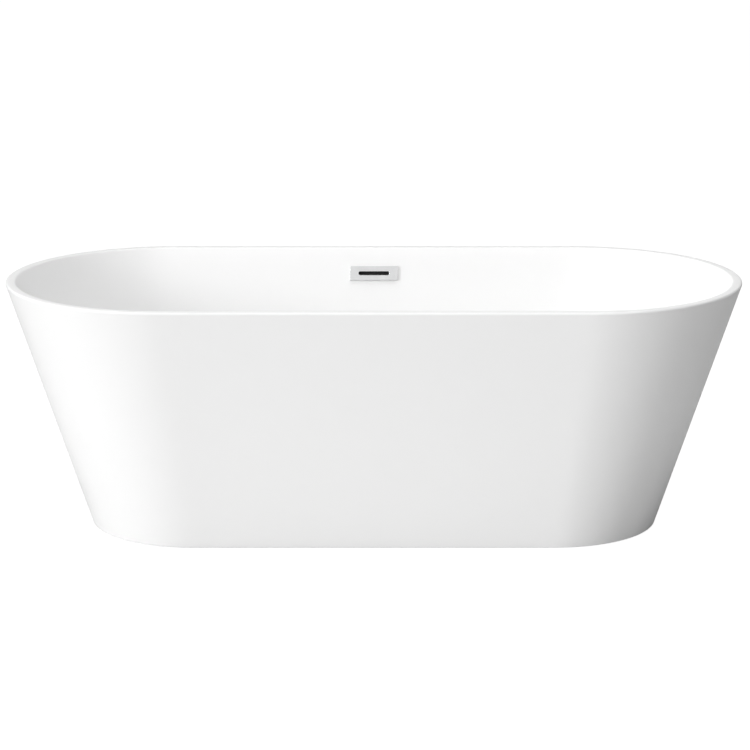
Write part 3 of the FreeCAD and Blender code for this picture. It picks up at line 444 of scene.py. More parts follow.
class Effects:
    """Node groups that several materials share, each built once."""

    kinds = {type(None): "NodeSocketVector", float: "NodeSocketFloat", tuple: "NodeSocketColor"}

    @classmethod
    def get(cls, name: str) -> NodeTree:
        """The group of that name, built when it isn't there yet."""
        return bpy.data.node_groups.get(name) or getattr(cls, name)()

    @classmethod
    def _start(cls, name: str, result: str, kind: str, **defaults: object) -> tuple[Tree, object]:
        """Starts a group with its sockets.

        Args:
            name: the group's name.
            result: its output's name.
            kind: its output's socket type.
            defaults: each input's default besides Vector.

        Returns:
            The tree and the values that it is given.
        """
        group = bpy.data.node_groups.new(name, "ShaderNodeTree")
        sockets = group.interface
        for label, default in {"Vector": None, **defaults}.items():
            socket = sockets.new_socket(name=label, in_out="INPUT", socket_type=cls.kinds[type(default)])
            if default is not None:
                socket.default_value = default
        sockets.new_socket(name=result, in_out="OUTPUT", socket_type=kind)
        tree = Tree(group)
        return tree, tree.add("NodeGroupInput").outputs

    @staticmethod
    def _noise(tree: Tree, given: object, detail: object) -> NodeSocket:
        """Soft noise at the group's own scale."""
        inputs = {"Vector": given["Vector"], "Scale": given["Scale"], "Detail": detail}
        return tree.add("ShaderNodeTexNoise", inputs).outputs["Fac"]

    @classmethod
    def mottle(cls) -> NodeTree:
        """A soft uneven value between two limits, as roughness varies over a handled surface."""
        tree, given = cls._start("mottle", "Value", "NodeSocketFloat", Scale=5.0, Low=0.0, High=1.0)
        limits = {"From Min": 0.3, "From Max": 0.7, "To Min": given["Low"], "To Max": given["High"]}
        spread = tree.add("ShaderNodeMapRange", {"Value": cls._noise(tree, given, 4), **limits})
        tree.add("NodeGroupOutput", {"Value": spread.outputs["Result"]})
        return tree.tree

    @classmethod
    def tint(cls) -> NodeTree:
        """Two colours in soft patches."""
        colours = {"First": (1, 1, 1, 1), "Second": (0, 0, 0, 1)}
        tree, given = cls._start("tint", "Color", "NodeSocketColor", Scale=5.0, Detail=3.0, **colours)
        noise = cls._noise(tree, given, given["Detail"])
        spread = tree.add("ShaderNodeMapRange", {"Value": noise, "From Min": 0.32, "From Max": 0.68})
        mixed = tree.blend(spread.outputs["Result"], given["First"], given["Second"])
        tree.add("NodeGroupOutput", {"Color": mixed})
        return tree.tree

    @classmethod
    def relief(cls) -> NodeTree:
        """Fine unevenness of a surface, as a normal."""
        defaults = {"Scale": 50.0, "Detail": 2.0, "Strength": 0.2, "Depth": 0.001}
        tree, given = cls._start("relief", "Normal", "NodeSocketVector", **defaults)
        height = cls._noise(tree, given, given["Detail"])
        bump = {"Height": height, "Strength": given["Strength"], "Distance": given["Depth"]}
        tree.add("NodeGroupOutput", {"Normal": tree.add("ShaderNodeBump", bump).outputs["Normal"]})
        return tree.tree

    @classmethod
    def speckle(cls) -> NodeTree:
        """Scattered small flecks, as a mask."""
        tree, given = cls._start("speckle", "Mask", "NodeSocketFloat", Scale=200.0, Size=0.3)
        cells = tree.add("ShaderNodeTexVoronoi", {"Vector": given["Vector"], "Scale": given["Scale"]})
        edge = {"Value": cells.outputs["Distance"], "From Min": given["Size"], "From Max": 0.0}
        tree.add("NodeGroupOutput", {"Mask": tree.add("ShaderNodeMapRange", edge).outputs["Result"]})
        return tree.tree


# ---- finishes


@dataclass(frozen=True)
class Finish:
    """A surface whose colour, gloss and fine relief vary a little, as on every real one.

    Args:
        name: the material's name.
        first: its main colour.
        second: the colour of its soft patches.
        patches: how many patches there are to a metre.
        rough: the lowest and highest roughness.
        relief: the relief's scale to a metre, strength and depth.
        grain: how far the pattern is drawn out along X, Y and Z.
        metallic: 1 for bare metal.
        coat: the weight and roughness of a clear coat.
        flecks: the scale, size and share of the second colour's flecks.
        specular: the level of the plain reflection.
        through: how much light scatters under the surface.
    """

    name: str
    first: Colour
    second: Colour
    patches: float = 8.0
    rough: Point = (0.3, 0.4)
    relief: Place = (300.0, 0.15, 0.0005)
    grain: Place = (1.0, 1.0, 1.0)
    metallic: float = 0.0
    coat: Point = (0.0, 0.03)
    flecks: Place = (0.0, 0.0, 0.0)
    specular: float = 0.5
    through: float = 0.0

    def material(self) -> Material:
        """Builds the material, or returns it when it is there already."""
        found = bpy.data.materials.get(self.name)
        if found is not None:
            return found
        material = bpy.data.materials.new(self.name)
        tree = Tree.of(material)
        place = tree.add("ShaderNodeTexCoord").outputs["Object"]
        vector = tree.add("ShaderNodeMapping", {"Vector": place, "Scale": self.grain}).outputs["Vector"]
        first, second = (*self.first, 1), (*self.second, 1)
        colour = tree.effect("tint", vector, Scale=self.patches, First=first, Second=second)
        if self.flecks[0]:
            mask = tree.effect("speckle", vector, Scale=self.flecks[0], Size=self.flecks[1])
            colour = tree.blend(tree.maths("MULTIPLY", mask, self.flecks[2]), colour, second)
        low, high = self.rough
        scale, strength, depth = self.relief
        given = {
            "Base Color": colour,
            "Roughness": tree.effect("mottle", vector, Scale=2.5 * self.patches, Low=low, High=high),
            "Normal": tree.effect("relief", vector, Scale=scale, Strength=strength, Depth=depth),
            "Metallic": self.metallic,
            "Specular IOR Level": self.specular,
            "Coat Weight": self.coat[0],
            "Coat Roughness": self.coat[1],
        }
        if self.through:
            given |= {"Subsurface Weight": self.through, "Subsurface Scale": 1.0}
            given["Subsurface Radius"] = (0.004, 0.004, 0.0035)
        shader = tree.add("ShaderNodeBsdfPrincipled", given)
        tree.add("ShaderNodeOutputMaterial", {"Surface": shader.outputs["BSDF"]})
        return material


FINISHES: dict[Slot, Finish] = {
    Slot.ACRYLIC: Finish(
        "gloss_white_acrylic", (0.880, 0.880, 0.879), (0.874, 0.874, 0.872), patches=1.1, rough=(0.285, 0.33),
        relief=(6.0, 0.02, 0.001), coat=(0.2, 0.12),
    ),
    Slot.RESIN: Finish(
        "cured_resin_and_mat", (0.62, 0.56, 0.40), (0.74, 0.70, 0.56), patches=40.0, rough=(0.35, 0.6),
        relief=(160.0, 0.5, 0.001), grain=(1.0, 1.0, 3.0), through=0.1,
    ),
    Slot.BOARD: Finish(
        "resin_faced_board", (0.40, 0.27, 0.14), (0.25, 0.16, 0.08), patches=25.0, rough=(0.5, 0.75),
        relief=(220.0, 0.35, 0.0006), grain=(0.35, 1.0, 1.0), flecks=(260.0, 0.5, 0.5),
    ),
    Slot.PAINT: Finish(
        "black_powder_coat", (0.018, 0.018, 0.02), (0.03, 0.03, 0.032), patches=12.0, rough=(0.38, 0.55),
        relief=(900.0, 0.35, 0.0003),
    ),
    Slot.ZINC: Finish(
        "zinc_plate", (0.60, 0.61, 0.62), (0.52, 0.52, 0.48), patches=60.0, rough=(0.28, 0.45),
        relief=(500.0, 0.12, 0.0003), metallic=1.0,
    ),
    Slot.STAINLESS: Finish(
        "brushed_stainless", (0.58, 0.58, 0.57), (0.50, 0.50, 0.50), patches=30.0, rough=(0.17, 0.26),
        relief=(700.0, 0.12, 0.0003), grain=(0.05, 1.0, 1.0), metallic=1.0,
    ),
    Slot.CHROME: Finish(
        "satin_bright_chrome", (0.92, 0.925, 0.93), (0.88, 0.885, 0.89), patches=35.0, rough=(0.1, 0.2),
        relief=(60.0, 0.03, 0.0004), metallic=1.0,
    ),
    Slot.BRASS: Finish(
        "turned_brass", (0.62, 0.43, 0.16), (0.50, 0.34, 0.12), patches=80.0, rough=(0.17, 0.26),
        relief=(300.0, 0.2, 0.0003), grain=(1.0, 1.0, 12.0), metallic=1.0,
    ),
    Slot.RUBBER: Finish(
        "black_rubber", (0.02, 0.02, 0.02), (0.032, 0.031, 0.03), patches=50.0, rough=(0.7, 0.9),
        relief=(1200.0, 0.4, 0.0003), specular=0.3,
    ),
    Slot.WASTE: Finish(
        "moulded_black_plastic", (0.02, 0.02, 0.022), (0.035, 0.035, 0.036), patches=30.0, rough=(0.38, 0.55),
        relief=(700.0, 0.3, 0.0003),
    ),
    Slot.HOSE: Finish(
        "grey_flexible_plastic", (0.50, 0.51, 0.52), (0.43, 0.44, 0.45), patches=40.0, rough=(0.35, 0.5),
        relief=(400.0, 0.15, 0.0003), through=0.05,
    ),
    Slot.FOOT: Finish(
        "moulded_foot_plastic", (0.025, 0.025, 0.025), (0.04, 0.04, 0.04), patches=40.0, rough=(0.45, 0.65),
        relief=(900.0, 0.35, 0.0003),
    ),
}


def dress(piece: Object, slot: Slot) -> None:
    """Gives a new piece or a CAD node its slot's finish all over."""
    piece.data.materials.clear()
    piece.data.materials.append(FINISHES[slot].material())


def mount(piece: Object, name: str, body: str, slot: Slot, node: str) -> None:
    """Names a finished piece, dresses it and lets it stand for its CAD node.

    Args:
        piece: the finished object, at the origin.
        name: its name.
        body: the CAD body that it moves with.
        slot: its finish's slot.
        node: the CAD node that it replaces.
    """
    piece.name = name
    piece.data.name = name
    dress(piece, slot)
    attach(piece, body)
    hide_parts(node)
    LOG.info("%s: %d faces on %s", name, len(piece.data.polygons), body)


# ---- the two shells


@dataclass(frozen=True)
class Flank:
    """Half sizes of the tub in one upright section: across the tub, or along it."""

    base: float
    rim: float
    floor: float
    cavity: float
    dish: float
    rim_height: float = 0.580
    floor_height: float = 0.150
    drain_height: float = 0.145
    under_height: float = 0.139
    wall: float = 0.006
    gap: float = 0.003
    floor_radius: float = 0.090
    rim_inner_radius: float = 0.006
    rim_outer_radius: float = 0.005
    hem_radius: float = 0.003

    def skirt(self, height: float) -> float:
        """The skirt's outer face."""
        return self.base + (self.rim - self.base) * height / self.rim_height

    def bowl(self, height: float) -> float:
        """The basin's straight inner wall."""
        rise = (height - self.floor_height) / (self.rim_height - self.floor_height)
        return self.floor + (self.cavity - self.floor) * rise

    def floor_bend(self) -> Bend:
        """The round corner between floor and wall."""
        corner, top = (self.floor, self.floor_height), (self.cavity, self.rim_height)
        return Bend.between(corner, (self.dish, self.drain_height), top, self.floor_radius)

    def rim_inner_bend(self) -> Bend:
        """The round edge between the wall and the rim's top."""
        corner, after = (self.cavity, self.rim_height), (self.rim, self.rim_height)
        return Bend.between(corner, (self.floor, self.floor_height), after, self.rim_inner_radius)

    def rim_outer_bend(self) -> Bend:
        """The round edge between the rim's top and its outer face."""
        corner, before = (self.rim, self.rim_height), (self.cavity, self.rim_height)
        return Bend.between(corner, before, (self.base, 0), self.rim_outer_radius)

    def under_bend(self) -> Bend:
        """The round corner under the floor."""
        corner = (self.bowl(self.under_height) + self.wall, self.under_height)
        top = (self.cavity + self.wall, self.rim_height)
        return Bend.between(corner, (0, self.under_height), top, self.floor_radius + self.wall)

    def hem_bend(self) -> Bend:
        """The round lower edge of the skirt."""
        corner = (self.skirt(self.gap), self.gap)
        return Bend.between(corner, (0, self.gap), (self.rim, self.rim_height), self.hem_radius)

    def inside(self, height: float) -> float:
        """The basin's inner face, from the dish to the rim's top.

        Args:
            height: a height between the two.

        Returns:
            The half size there.
        """
        low, high = self.floor_bend(), self.rim_inner_bend()
        if height <= low.start[1]:
            share = (height - self.drain_height) / (self.floor_height - self.drain_height)
            return self.dish + (self.floor - self.dish) * share
        if height <= low.end[1]:
            return low.at(height, 1)
        return self.bowl(height) if height <= high.start[1] else high.at(height, -1)

    def lip(self, height: float) -> float:
        """The rim's outer face at a height."""
        bend = self.rim_outer_bend()
        return self.skirt(height) if height <= bend.end[1] else bend.at(height, 1)

    def under(self, height: float) -> float:
        """The basin's outer face at a height, below the lip."""
        bend = self.under_bend()
        return bend.at(height, 1) if height < bend.end[1] else self.bowl(height) + self.wall

    def hem(self, height: float) -> float:
        """The skirt's outer face at a height, hem included."""
        bend = self.hem_bend()
        return bend.at(height, 1) if height < bend.end[1] else self.skirt(height)


ACROSS = Flank(base=0.250, rim=0.3762, floor=0.210, cavity=0.3523, dish=0.045)
ALONG = Flank(base=0.660, rim=0.8519, floor=0.600, cavity=0.8281, dish=0.080)


def steps_between(low: float, high: float, count: int) -> list[float]:
    """Evenly spaced heights from low to high, without low itself."""
    return [low + (high - low) * k / count for k in range(1, count + 1)]


def rounded_off(heights: Iterable[float]) -> set[float]:
    """Heights without near doubles."""
    return {round(height, 7) for height in heights}


def heights_of(bend: Bend, steps: int) -> set[float]:
    """The heights of the points along a bend."""
    return rounded_off(height for _, height in bend.run(steps))


@dataclass
class OvalShell:
    """A closed shell whose every level is a stadium, built from one quarter and mirrored."""

    quarter_steps: int = 44
    seam: float = 2e-5

    @staticmethod
    def levels(half: Callable[[Flank, float], float], heights: Iterable[float]) -> list[Place]:
        """Levels of the shell, each its half length, half width and height."""
        return [(half(ALONG, height), half(ACROSS, height), height) for height in heights]

    def rings(self) -> list[Place]:
        """The section's levels in order; the first one comes back at the end."""
        raise NotImplementedError

    def quarter(self) -> Object:
        """Draws one quarter of the first level and pulls it through all the others."""
        rings = self.rings()
        length, width, height = rings[0]
        piece = new_circle(width, 4 * self.quarter_steps, height)
        open_mesh(piece)
        pick(piece, lambda co: co.x < -NEAR or co.y < -NEAR)
        bpy.ops.mesh.delete(type="VERT")
        pick_all(piece)
        shift((length - width, 0, 0))
        pick(piece, lambda co: co.x < length - width + NEAR)
        extrude((width - length, 0, 0))
        pick_all(piece)
        for before, after in zip(rings, rings[1:]):
            extrude((0, 0, after[2] - before[2]))
            isolate()
            scale = after[1] / before[1]
            stretch((1, scale, 1))
            old, new = before[0] - before[1], after[0] - after[1]
            pick(piece, lambda co: co.x > NEAR)
            stretch((scale, 1, 1), (old, 0, 0))
            shift((new - old, 0, 0))
            pick_all(piece)
        bpy.ops.mesh.reveal(select=False)
        close_mesh()
        return piece

    def whole(self) -> Object:
        """Mirrors the quarter both ways and closes it."""
        piece = self.quarter()
        both = {"use_axis": (True, True, False), "use_mirror_merge": True}
        finish_with(piece, "MIRROR", merge_threshold=self.seam, **both)
        heal(piece)
        return piece


@dataclass
class Basin(OvalShell):
    """The acrylic basin: its floor, its rolled rim, and its holes for the waste and the overflow."""

    hole: float = 0.025
    recess: float = 0.0353
    recess_height: float = 0.1425
    fall: tuple[float, ...] = (0.1465, 0.1475)
    lip_height: float = 0.572
    flat: float = 1e-4
    slot_length: float = 0.098
    slot_width: float = 0.016
    slot_reach: float = 0.024

    def rings(self) -> list[Place]:
        """From the rim's outer edge over the top, down the inside and back up the outside."""
        floor, rim = ACROSS.floor_bend(), ACROSS.rim_inner_bend()
        lip, corner = ACROSS.rim_outer_bend(), ACROSS.under_bend()
        edge = heights_of(lip, 10) | {ALONG.rim_outer_bend().end[1], self.lip_height}
        wall = (*ALONG.floor_bend().heights, *steps_between(floor.end[1], rim.start[1], 12))
        down = heights_of(floor, 16) | heights_of(rim, 7) | rounded_off((*self.fall, *wall))
        up = heights_of(corner, 14) | {ALONG.under_bend().end[1]}
        up |= set(steps_between(corner.end[1], self.lip_height, 6))
        recess, hole = (self.recess + self.flat, self.recess), (self.hole + self.flat, self.hole)
        result = self.levels(Flank.lip, sorted(edge))
        result += self.levels(Flank.inside, sorted(down, reverse=True))
        drain, step, under = ACROSS.drain_height, self.recess_height, ACROSS.under_height
        result += [(ALONG.dish, ACROSS.dish, drain), (*recess, drain), (*recess, step)]
        result += [(*hole, step), (*hole, under)]
        result += self.levels(Flank.under, sorted(up))
        return result + result[:1]

    def build(self) -> None:
        """Makes the basin."""
        piece = self.whole()
        slot = stadium_prism(self.slot_length, self.slot_width, -self.slot_reach, self.slot_reach)
        carve(piece, onto_wall(slot))
        smooth(piece, 28)
        mount(piece, "basin", "tub", Slot.ACRYLIC, "basin_shell")


@dataclass
class Skirt(OvalShell):
    """The tapered outer apron with its hem and the flange turned in at its foot."""

    wall: float = 0.006
    flange_top: float = 0.009
    flange_reach: float = 0.041
    hem_top: float = 0.006
    top: float = 0.572

    def rings(self) -> list[Place]:
        """Up the outside, over the top edge, down the inside and round the flange."""
        up = heights_of(ACROSS.hem_bend(), 6) | {ALONG.hem_bend().end[1]}
        up |= set(steps_between(self.hem_top, self.top, 14))
        inside = (self.top, 0.4, 0.2, self.flange_top)
        result = self.levels(Flank.hem, sorted(up))
        result += self.levels(lambda flank, height: flank.skirt(height) - self.wall, inside)
        result += self.levels(self.flange, (self.flange_top, ACROSS.gap))
        return result + result[:1]

    def flange(self, flank: Flank, height: float) -> float:
        """The flange's inner edge, the same at every height."""
        return flank.skirt(self.flange_top) - self.flange_reach

    def build(self) -> None:
        """Makes the skirt."""
        piece = self.whole()
        smooth(piece, 28)
        mount(piece, "skirt", "tub", Slot.ACRYLIC, "outer_skirt")


# ---- overflow


def onto_wall(piece: Object) -> Object:
    """Sets a piece drawn flat at the origin onto the basin's long back wall at the overflow.

    Args:
        piece: the object, X along the tub, Y up the slope and Z into the basin.

    Returns:
        The object with its place in its mesh.
    """
    slope = math.atan((ACROSS.cavity - ACROSS.floor) / (ACROSS.rim_height - ACROSS.floor_height))
    piece.rotation_euler = (math.pi / 2 - slope, 0, 0)
    piece.location = (0, ACROSS.bowl(OVERFLOW_HEIGHT), OVERFLOW_HEIGHT)
    apply_place(piece)
    return piece


def stadium_prism(length: float, width: float, low: float, high: float, flare: float = 0) -> Object:
    """An upright prism with half-round ends.

    Args:
        length: its length along X.
        width: its width along Y.
        low: its lower height.
        high: its upper height.
        flare: how far its top third widens, for a chamfer.

    Returns:
        The new object.
    """
    piece = new_circle(width / 2, 48, low, filled=True)
    open_mesh(piece)
    half = (length - width) / 2
    bpy.ops.transform.rotate(value=math.pi / 48, orient_axis="Z", center_override=(0, 0, 0))
    for side in (-1, 1):
        pick(piece, lambda co, side=side: co.x * side > 0)
        shift((side * half, 0, 0))
    pick_all(piece)
    extrude((0, 0, high - flare - low))
    if flare:
        extrude((0, 0, flare))
        isolate()
        for side in (-1, 1):
            pick(piece, lambda co, side=side: co.x * side > 0)
            grow = (width + 2 * flare) / width
            stretch((grow, grow, 1), (side * half, 0, 0))
        bpy.ops.mesh.reveal(select=False)
    close_mesh()
    heal(piece)
    return piece


@dataclass
class OverflowFace:
    """The overflow's bright face plate with its chamfered slot."""

    length: float = 0.115
    width: float = 0.0345
    depth: float = 0.007
    face: float = 0.002
    wall: float = 0.002
    edge: float = 0.0008
    slot_length: float = 0.074
    slot_width: float = 0.0086
    chamfer: float = 0.0016
    clear: float = 0.0005

    def build(self) -> None:
        """Makes the face plate."""
        piece = new_block((self.length, self.width, self.depth), (0, 0, self.depth / 2))
        open_mesh(piece)
        bpy.ops.mesh.select_all(action="DESELECT")
        for edge in bmesh.from_edit_mesh(piece.data).edges:
            edge.select = max(vertex.co.z for vertex in edge.verts) > NEAR
        bmesh.update_edit_mesh(piece.data)
        bpy.ops.mesh.bevel(offset=self.edge, segments=5, affect="EDGES")
        close_mesh()
        inner = (self.length - 2 * self.wall, self.width - 2 * self.wall, 2 * (self.depth - self.face))
        carve(piece, new_block(inner, (0, 0, 0)))
        top = self.depth
        carve(piece, stadium_prism(self.slot_length, self.slot_width, self.clear, top + self.clear))
        flared = stadium_prism(self.slot_length, self.slot_width, top - 2 * self.chamfer, top, self.chamfer)
        open_mesh(flared)
        pick(flared, lambda co: co.z > top - NEAR)
        shift((0, 0, 10 * NEAR))
        close_mesh()
        carve(piece, flared)
        heal(piece, NEAR)
        soften(piece, 0.0002, 40)
        smooth(piece, 35)
        finish_with(piece, "WEIGHTED_NORMAL", mode="FACE_AREA", weight=100, keep_sharp=True)
        onto_wall(piece)
        mount(piece, "overflow_faceplate", "tub", Slot.CHROME, "overflow_cover")


@dataclass
class RibbedHose:
    """The corrugated hose from the overflow duct round under the basin to the waste."""

    radius: float = 0.0125
    root: float = 0.0112
    pitch: float = 0.004
    cuff: float = 0.026
    wall: float = 0.0012
    bend: float = 0.080
    handle: float = 0.03
    sides: int = 28
    start: Point = (0.30771, 0.38073)
    bend_in: Point = (0.22641, 0.13491)
    bend_out: Point = (0.15041, 0.080)
    end: Point = (0.035, 0.080)

    def path(self) -> tuple[Object, float]:
        """The hose's line and its length."""
        first, second, third, last = (
            Vector((0, y, z)) for y, z in (self.start, self.bend_in, self.bend_out, self.end)
        )
        down, away = (second - first).normalized(), (last - third).normalized()
        turn = down.angle(away)
        reach = 4 / 3 * math.tan(turn / 4) * self.bend
        bpy.ops.curve.primitive_bezier_curve_add(location=(0, 0, 0))
        line = bpy.context.object
        spline = line.data.splines[0]
        spline.bezier_points.add(2)
        near, far = self.handle * down, self.handle * away
        handles = (
            (first, first - near, first + near),
            (second, second - near, second + down * reach),
            (third, third - away * reach, third + far),
            (last, last - far, last + far),
        )
        for point, (place, left, right) in zip(spline.bezier_points, handles):
            point.handle_left_type = point.handle_right_type = "FREE"
            point.co, point.handle_left, point.handle_right = place, left, right
        line.data.resolution_u = 48
        length = (second - first).length + self.bend * turn + (last - third).length
        return line, length

    def straight(self, length: float) -> Object:
        """The hose laid straight up Z, before it is bent.

        Args:
            length: how long it is.

        Returns:
            The open tube.
        """
        ribs = int((length - 2 * self.cuff) / self.pitch)
        cuff = (length - ribs * self.pitch) / 2
        cell = new_circle(self.root, self.sides, cuff)
        open_mesh(cell)
        grow = self.radius / self.root
        for rise, scale in ((0.2, 1), (0.2, grow), (0.3, 1), (0.2, 1 / grow), (0.1, 1)):
            extrude((0, 0, rise * self.pitch))
            stretch((scale, scale, 1))
        close_mesh()
        finish_with(
            cell, "ARRAY", count=ribs, use_relative_offset=False, use_constant_offset=True,
            constant_offset_displace=(0, 0, self.pitch), use_merge_vertices=True, merge_threshold=NEAR,
        )
        sleeves = []
        for low, seam in ((0.0, cuff), (length - cuff, length - cuff)):
            sleeve = new_circle(self.radius, self.sides, low)
            open_mesh(sleeve)
            for _ in range(6):
                extrude((0, 0, cuff / 6))
            pick(sleeve, lambda co, at=seam: abs(co.z - at) < NEAR)
            stretch((self.root / self.radius, self.root / self.radius, 1))
            close_mesh()
            sleeves.append(sleeve)
        tube = join([cell, *sleeves])
        heal(tube, 2 * NEAR)
        return tube

    def build(self) -> None:
        """Makes the hose."""
        line, length = self.path()
        piece = self.straight(length)
        finish_with(piece, "CURVE", object=line, deform_axis="POS_Z")
        bpy.data.objects.remove(line)
        finish_with(piece, "SOLIDIFY", thickness=self.wall, offset=-1)
        smooth(piece, 40)
        mount(piece, "ribbed_hose", "tub", Slot.HOSE, "overflow_hose")


# ---- waste and plug


@dataclass
class WasteFlange:
    """The bright flange in the floor, with its hub and the cross that carries the cartridge."""

    radius: float = 0.035
    top: float = 0.146
    under: float = 0.1435
    hub: float = 0.023
    bore: float = 0.0195
    bottom: float = 0.1055
    arm: float = 0.004
    arm_height: float = 0.006
    thread: float = 0.006
    boss_wall: float = 0.003
    edge: float = 0.0006
    bite: float = 0.0005

    def build(self) -> None:
        """Makes the flange."""
        section = [
            (self.bore, self.bottom), (self.hub, self.bottom), (self.hub, self.under),
            (self.radius, self.under), (self.radius, self.top), (self.bore, self.top),
            (self.bore, self.bottom),
        ]
        ring = turned(section, (0, 0.0008, self.edge, self.edge, 0.0014, 0.0015, 0), 6, 120)
        wall, top = self.thread + self.boss_wall, self.bottom + self.arm_height
        section = [
            (self.thread, self.bottom), (wall, self.bottom), (wall, top), (self.thread, top),
            (self.thread, self.bottom),
        ]
        boss = turned(section, (0, self.edge, self.edge, 0, 0), 4, 48)
        arms = []
        reach = self.bore - wall + 2 * self.bite
        middle = (self.bore + wall) / 2
        for x, y in ((1, 0), (-1, 0), (0, 1), (0, -1)):
            size = (reach if x else self.arm, reach if y else self.arm, self.arm_height)
            arm = new_block(size, (x * middle, y * middle, self.bottom + self.arm_height / 2))
            open_mesh(arm)
            bpy.ops.mesh.bevel(offset=self.edge, segments=3, affect="EDGES")
            close_mesh()
            arms.append(arm)
        piece = join([ring, boss, *arms])
        smooth(piece, 35)
        mount(piece, "waste_flange", "tub", Slot.CHROME, "drain_flange")


@dataclass
class PlugButton:
    """The pressed plug's domed cap."""

    radius: float = 0.031
    under: float = 0.1543
    crown: float = 0.1583
    boss: float = 0.006
    stem: float = 0.003
    boss_height: float = 0.008
    side: float = 0.0021
    slope: float = 0.004
    fall: float = 0.0003

    def build(self) -> None:
        """Makes the cap."""
        low, high = self.under - self.boss_height, self.under + self.side
        section = [
            (self.stem, self.under), (self.stem, low), (self.boss, low), (self.boss, self.under),
            (self.radius, self.under), (self.radius, high),
            (self.radius - self.slope, self.crown - self.fall), (self.radius / 2, self.crown),
            (0, self.crown), (0, self.under), (self.stem, self.under),
        ]
        radii = (0, 0.0004, 0.0006, 0.0008, 0.0008, 0.0012, 0.004, 0.01, 0, 0, 0)
        piece = turned(section, radii, 6, 120)
        smooth(piece, 35)
        mount(piece, "plug_button", "plug", Slot.CHROME, "plug_cap")


@dataclass
class ReturnSpring:
    """The coil that pushes the plug up again."""

    wire: float = 0.0004
    radius: float = 0.0038
    low: float = 0.0860
    high: float = 0.1167
    turns: int = 9
    travel: float = 0.008

    def build(self) -> None:
        """Makes the coil."""
        piece = new_circle(self.wire, 10, filled=True)
        piece.rotation_euler = (math.pi / 2, 0, 0)
        apply_place(piece)
        displace(piece, (self.radius, 0, self.low + self.wire))
        pitch = (self.high - self.low - 2 * self.wire) / self.turns
        coil(piece, pitch, self.turns, 28)
        heal(piece, NEAR)
        mount(piece, "return_spring", "tub", Slot.STAINLESS, "cartridge_spring")
        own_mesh(piece)


# ---- levelling feet


@dataclass
class ThreadedStem:
    """A foot's screw: M10 by 1.5 thread, hexagon collar and the pin that turns in the pad."""

    x: float = 0.430
    y: float = 0.170
    core: float = 0.0043
    crest: float = 0.00498
    pitch: float = 0.0015
    tooth: tuple[float, ...] = (0.0, 0.0002, 0.00065, 0.00085, 0.0013, 0.0015)
    low: float = 0.0222
    high: float = 0.127
    collar_low: float = 0.0162
    pin: float = 0.004
    pin_low: float = 0.0082
    start: float = 0.0006
    tip: float = 0.001
    edge: float = 0.0003
    flats: float = 0.017

    def thread(self) -> Object:
        """The helical thread from the collar to the tip."""
        turns = int((self.high - self.low - 2 * self.pitch) / self.pitch)
        radii = (self.core, self.core, self.crest, self.crest, self.core, self.core)
        piece = new_outline(list(zip(radii, self.tooth)))
        displace(piece, (0, 0, self.low + self.start))
        coil(piece, self.pitch, turns, 16, use_merge_vertices=True, merge_threshold=NEAR)
        return piece

    def pattern(self) -> Object:
        """One stem about the Z axis, still to be moved to its corner."""
        tip, rod = self.high, self.core + 0.0001
        outline = [(0, self.collar_low), (rod, self.collar_low), (rod, tip - self.tip)]
        outline += [(self.core - self.tip, tip), (0, tip)]
        shaft = turned(outline, (0, 0, self.edge, self.edge, 0), 3, 32)
        pin_top = self.collar_low + 0.0005
        outline = [(0, self.pin_low), (self.pin, self.pin_low), (self.pin, pin_top), (0, pin_top)]
        pin = turned(outline, (0, 2 * self.edge, 0, 0), 3, 32)
        bpy.ops.mesh.primitive_cylinder_add(
            vertices=6, radius=self.flats / math.sqrt(3), depth=self.low - self.collar_low,
            location=(0, 0, (self.low + self.collar_low) / 2), rotation=(0, 0, math.pi / 6),
        )
        collar = bpy.context.object
        apply_place(collar)
        soften(collar, 0.0005, 50)
        return join([shaft, self.thread(), pin, collar])

    def build(self) -> None:
        """Makes the four stems, each a copy of the first with its own mesh."""
        model = self.pattern()
        smooth(model, 35)
        for corner in Corner:
            label, east, north = corner.value
            piece = model.copy()
            piece.data = model.data.copy()
            bpy.context.scene.collection.objects.link(piece)
            displace(piece, (east * self.x, north * self.y, 0))
            mount(piece, f"threaded_stem_{label}", f"stem_{label}", Slot.ZINC, f"foot_stem_{label}")
        bpy.data.objects.remove(model)


# ---- pieces that keep their CAD shape


@dataclass
class CarriedPieces:
    """The CAD nodes that stay as they are, each with its finish."""

    record: dict
    nodes: dict[str, Object]

    def dress(self) -> None:
        """Dresses every node that still shows with its slot's finish."""
        for part in self.record["subparts"]:
            name, slot = part["node"], Slot(part["material_slot"])
            if not self.nodes[name].hide_render:
                dress(self.nodes[name], slot)
                LOG.info("%s: %s", name, slot.value)


# ---- studio


@dataclass
class Softbox:
    """A square area light that looks at a point."""

    name: str
    place: Place
    size: float
    power: float
    aim: Place = (0, 0, 0.3)
    mirrored: bool = True

    def build(self) -> None:
        """Hangs the light."""
        bpy.ops.object.light_add(type="AREA", location=self.place)
        light = bpy.context.object
        light.name = self.name
        light.data.size = self.size
        light.data.energy = self.power
        light.visible_glossy = self.mirrored
        direction = Vector(self.aim) - Vector(self.place)
        light.rotation_euler = direction.to_track_quat("-Z", "Y").to_euler()


@dataclass
class Daylight:
    """Soft light from far away, which mirror-like surfaces don't show."""

    name: str
    azimuth: float
    elevation: float
    spread: float
    strength: float

    def build(self) -> None:
        """Sets the light."""
        bpy.ops.object.light_add(type="SUN", location=(0, 0, 5))
        light = bpy.context.object
        light.name = self.name
        light.data.angle = math.radians(self.spread)
        light.data.energy = self.strength
        light.visible_glossy = False
        slope = math.radians(90 - self.elevation)
        light.rotation_euler = (slope, 0, math.radians(-self.azimuth))


